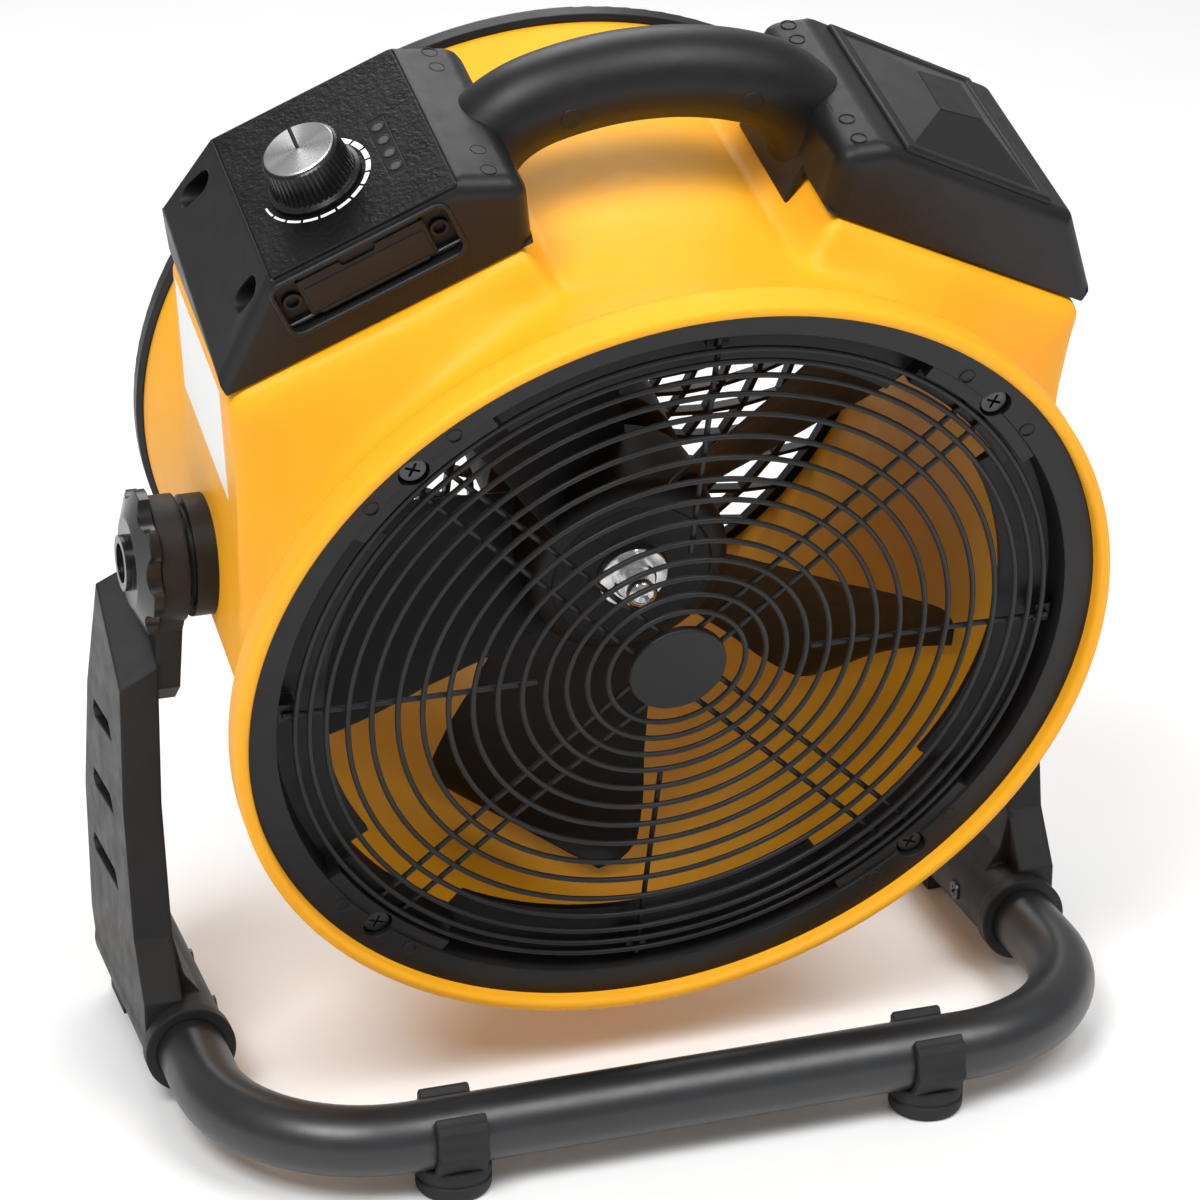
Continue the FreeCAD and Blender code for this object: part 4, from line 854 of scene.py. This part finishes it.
# ------------------------------------------------------------- small head details
def ring_marks():
    """Ejector marks beside each grille screw."""
    for corner in (45, 135, 225, 315):
        for offset in (-7.3, 7.3):
            turn = math.radians(corner + offset)
            along = Vector((math.cos(turn), 0, math.sin(turn)))
            across = Vector((-math.sin(turn), 0, math.cos(turn)))
            points, faces = surface_ring(along * 174.8 + Vector((0, 7.2, 0)), 3.4, 0.6, across, along, 0.15)
            add_piece("ring_mark", points, faces, HEAD, "head", "black_moulding")


def blank_label():
    """The blank white label, laid on the left pod's flat side."""
    low, high = math.atan2(60.0, 176.0), math.atan2(116.0, 182.0)
    y_first, y_last = 80.0, 158.0
    rows, columns = 13, 13
    points = []
    for lift in (0.35, -1.0):
        for i in range(rows):
            turn = math.pi - (low + (high - low) * i / (rows - 1))
            for j in range(columns):
                y = y_first + (y_last - y_first) * j / (columns - 1)
                radius = shell_radius(y, (pod_radius(turn), pod_radius(turn))) + lift
                points.append((radius * math.cos(turn), y, radius * math.sin(turn)))
    label = add_piece("blank_label", points, sheet_faces(rows, columns, flip=True), HEAD, "head", "label_white")
    label.data.set_sharp_from_angle(angle=math.radians(40.0))
    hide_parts("rating_label")


# ------------------------------------------------------------- feet
TUBE_FRONT, TUBE_Z, TUBE_R = -131.0, 26.5, 15.0
FOOT_X = 107.3
CLIP_HALF, CLIP_WALL, CLIP_RIB, CLIP_GAP = 11.0, 3.6, 1.3, math.radians(42.0)
# The round pad's outline, as (radius, height).
PAD_PROFILE = [(0.0, 0.0), (14.0, 0.0), (15.2, 0.5), (16.0, 1.6), (16.3, 3.0), (16.3, 6.2), (15.5, 6.8),
               (15.5, 7.8), (16.3, 8.4), (16.3, 12.6), (15.7, 13.7), (14.6, 14.0), (0.0, 14.0)]


def front_feet():
    """Rubber clips: a ribbed C round the tube over a round pad."""
    for side, node in ((-1, "front_foot_left"), (1, "front_foot_right")):
        x = side * FOOT_X
        steps = 60
        sweep = [CLIP_GAP + (2 * math.pi - 2 * CLIP_GAP) * step / steps for step in range(steps + 1)]
        outline = []
        for step, turn in enumerate(sweep):
            radius = TUBE_R + CLIP_WALL + (CLIP_RIB if int(step / 3) % 3 == 1 else 0.0)
            outline.append((radius * math.cos(math.pi / 2 + turn), radius * math.sin(math.pi / 2 + turn)))
        radius = TUBE_R + 0.05
        outline += [(radius * math.cos(math.pi / 2 - turn), radius * math.sin(math.pi / 2 - turn)) for turn in sweep]
        clip = prism("foot_clip", outline,
                     lambda u, v: Vector((x - CLIP_HALF, TUBE_FRONT + u, TUBE_Z + v)),
                     lambda u, v: Vector((x + CLIP_HALF, TUBE_FRONT + u, TUBE_Z + v)))
        rounded(clip, 0.9, 60.0)
        settled(clip, STAND, "stand", "foot_rubber")
        around = 64
        points = []
        for radius, z in PAD_PROFILE:
            for step in range(around):
                turn = 2 * math.pi * step / around
                points.append((x + radius * math.cos(turn), TUBE_FRONT + radius * math.sin(turn), z))
        pad = add_piece("foot_pad", points, ring_faces(len(PAD_PROFILE), around, closed_up=False), STAND, "stand",
                        "foot_rubber")
        pad.data.set_sharp_from_angle(angle=math.radians(50.0))
        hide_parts(node)


# ------------------------------------------------------------- floor, light and camera
# Soft lamps: name, place in metres, size and power.
LAMPS = (("key", (-1.2, -1.2, 2.3), 1.1, 52.0), ("strip", (0.75, -1.15, 2.1), 1.1, 26.0),
         ("back", (0.3, 1.8, 2.2), 1.6, 30.0))
LAMPS_AIM = Vector((0, 0, 0.25))
BACKDROP = 0.43
# The camera: its place from the pivot's depth, its line of sight and its lens.
EYE_X, EYE_IN_FRONT, EYE_Z = -0.512, 1.565, 0.909
SIGHT = Vector((0.286, 0.873, -0.395))
LENS_MM, SENSOR_MM = 122.6, 36.0


def studio():
    floor_mesh = bpy.data.meshes.new("floor")
    reach = 12.0
    floor_mesh.from_pydata([(-reach, -reach, 0), (reach, -reach, 0), (reach, reach, 0), (-reach, reach, 0)], [],
                           [(0, 1, 2, 3)])
    floor = bpy.data.objects.new("floor", floor_mesh)
    bpy.context.scene.collection.objects.link(floor)
    pale = Shader("floor_pale")
    pale.colour(pale.mix(pale.noise(3.0), (0.88, 0.88, 0.88), (0.90, 0.90, 0.90)))
    pale.rough(pale.spread(pale.noise(8.0), 0.3, 0.7, 0.55, 0.65))
    floor_mesh.materials.append(pale.material)

    world = bpy.data.worlds.new("studio")
    bpy.context.scene.world = world
    world.use_nodes = True
    backdrop = world.node_tree.nodes["Background"]
    backdrop.inputs["Color"].default_value = (1.0, 1.0, 1.0, 1.0)
    backdrop.inputs["Strength"].default_value = BACKDROP

    for name, place, size, power in LAMPS:
        lamp = bpy.data.lights.new(name, "AREA")
        lamp.size = size
        lamp.energy = power
        holder = bpy.data.objects.new(name, lamp)
        holder.location = place
        holder.rotation_mode = "QUATERNION"
        holder.rotation_quaternion = (LAMPS_AIM - Vector(place)).to_track_quat("-Z", "Y")
        bpy.context.scene.collection.objects.link(holder)


def camera():
    data = bpy.data.cameras.new("camera")
    data.lens = LENS_MM
    data.sensor_width = SENSOR_MM
    eye = bpy.data.objects.new("camera", data)
    eye.location = (EYE_X, PIVOT.y - EYE_IN_FRONT, EYE_Z)
    eye.rotation_mode = "QUATERNION"
    eye.rotation_quaternion = SIGHT.to_track_quat("-Z", "Y")
    bpy.context.scene.collection.objects.link(eye)
    bpy.context.scene.camera = eye


drum_shell()
control_box()
control_panel_details()
port_door()
battery_box()
handle_bar()
handle_plugs()
strip_marks()
impeller()
ring_marks()
blank_label()
front_feet()
studio()
camera()
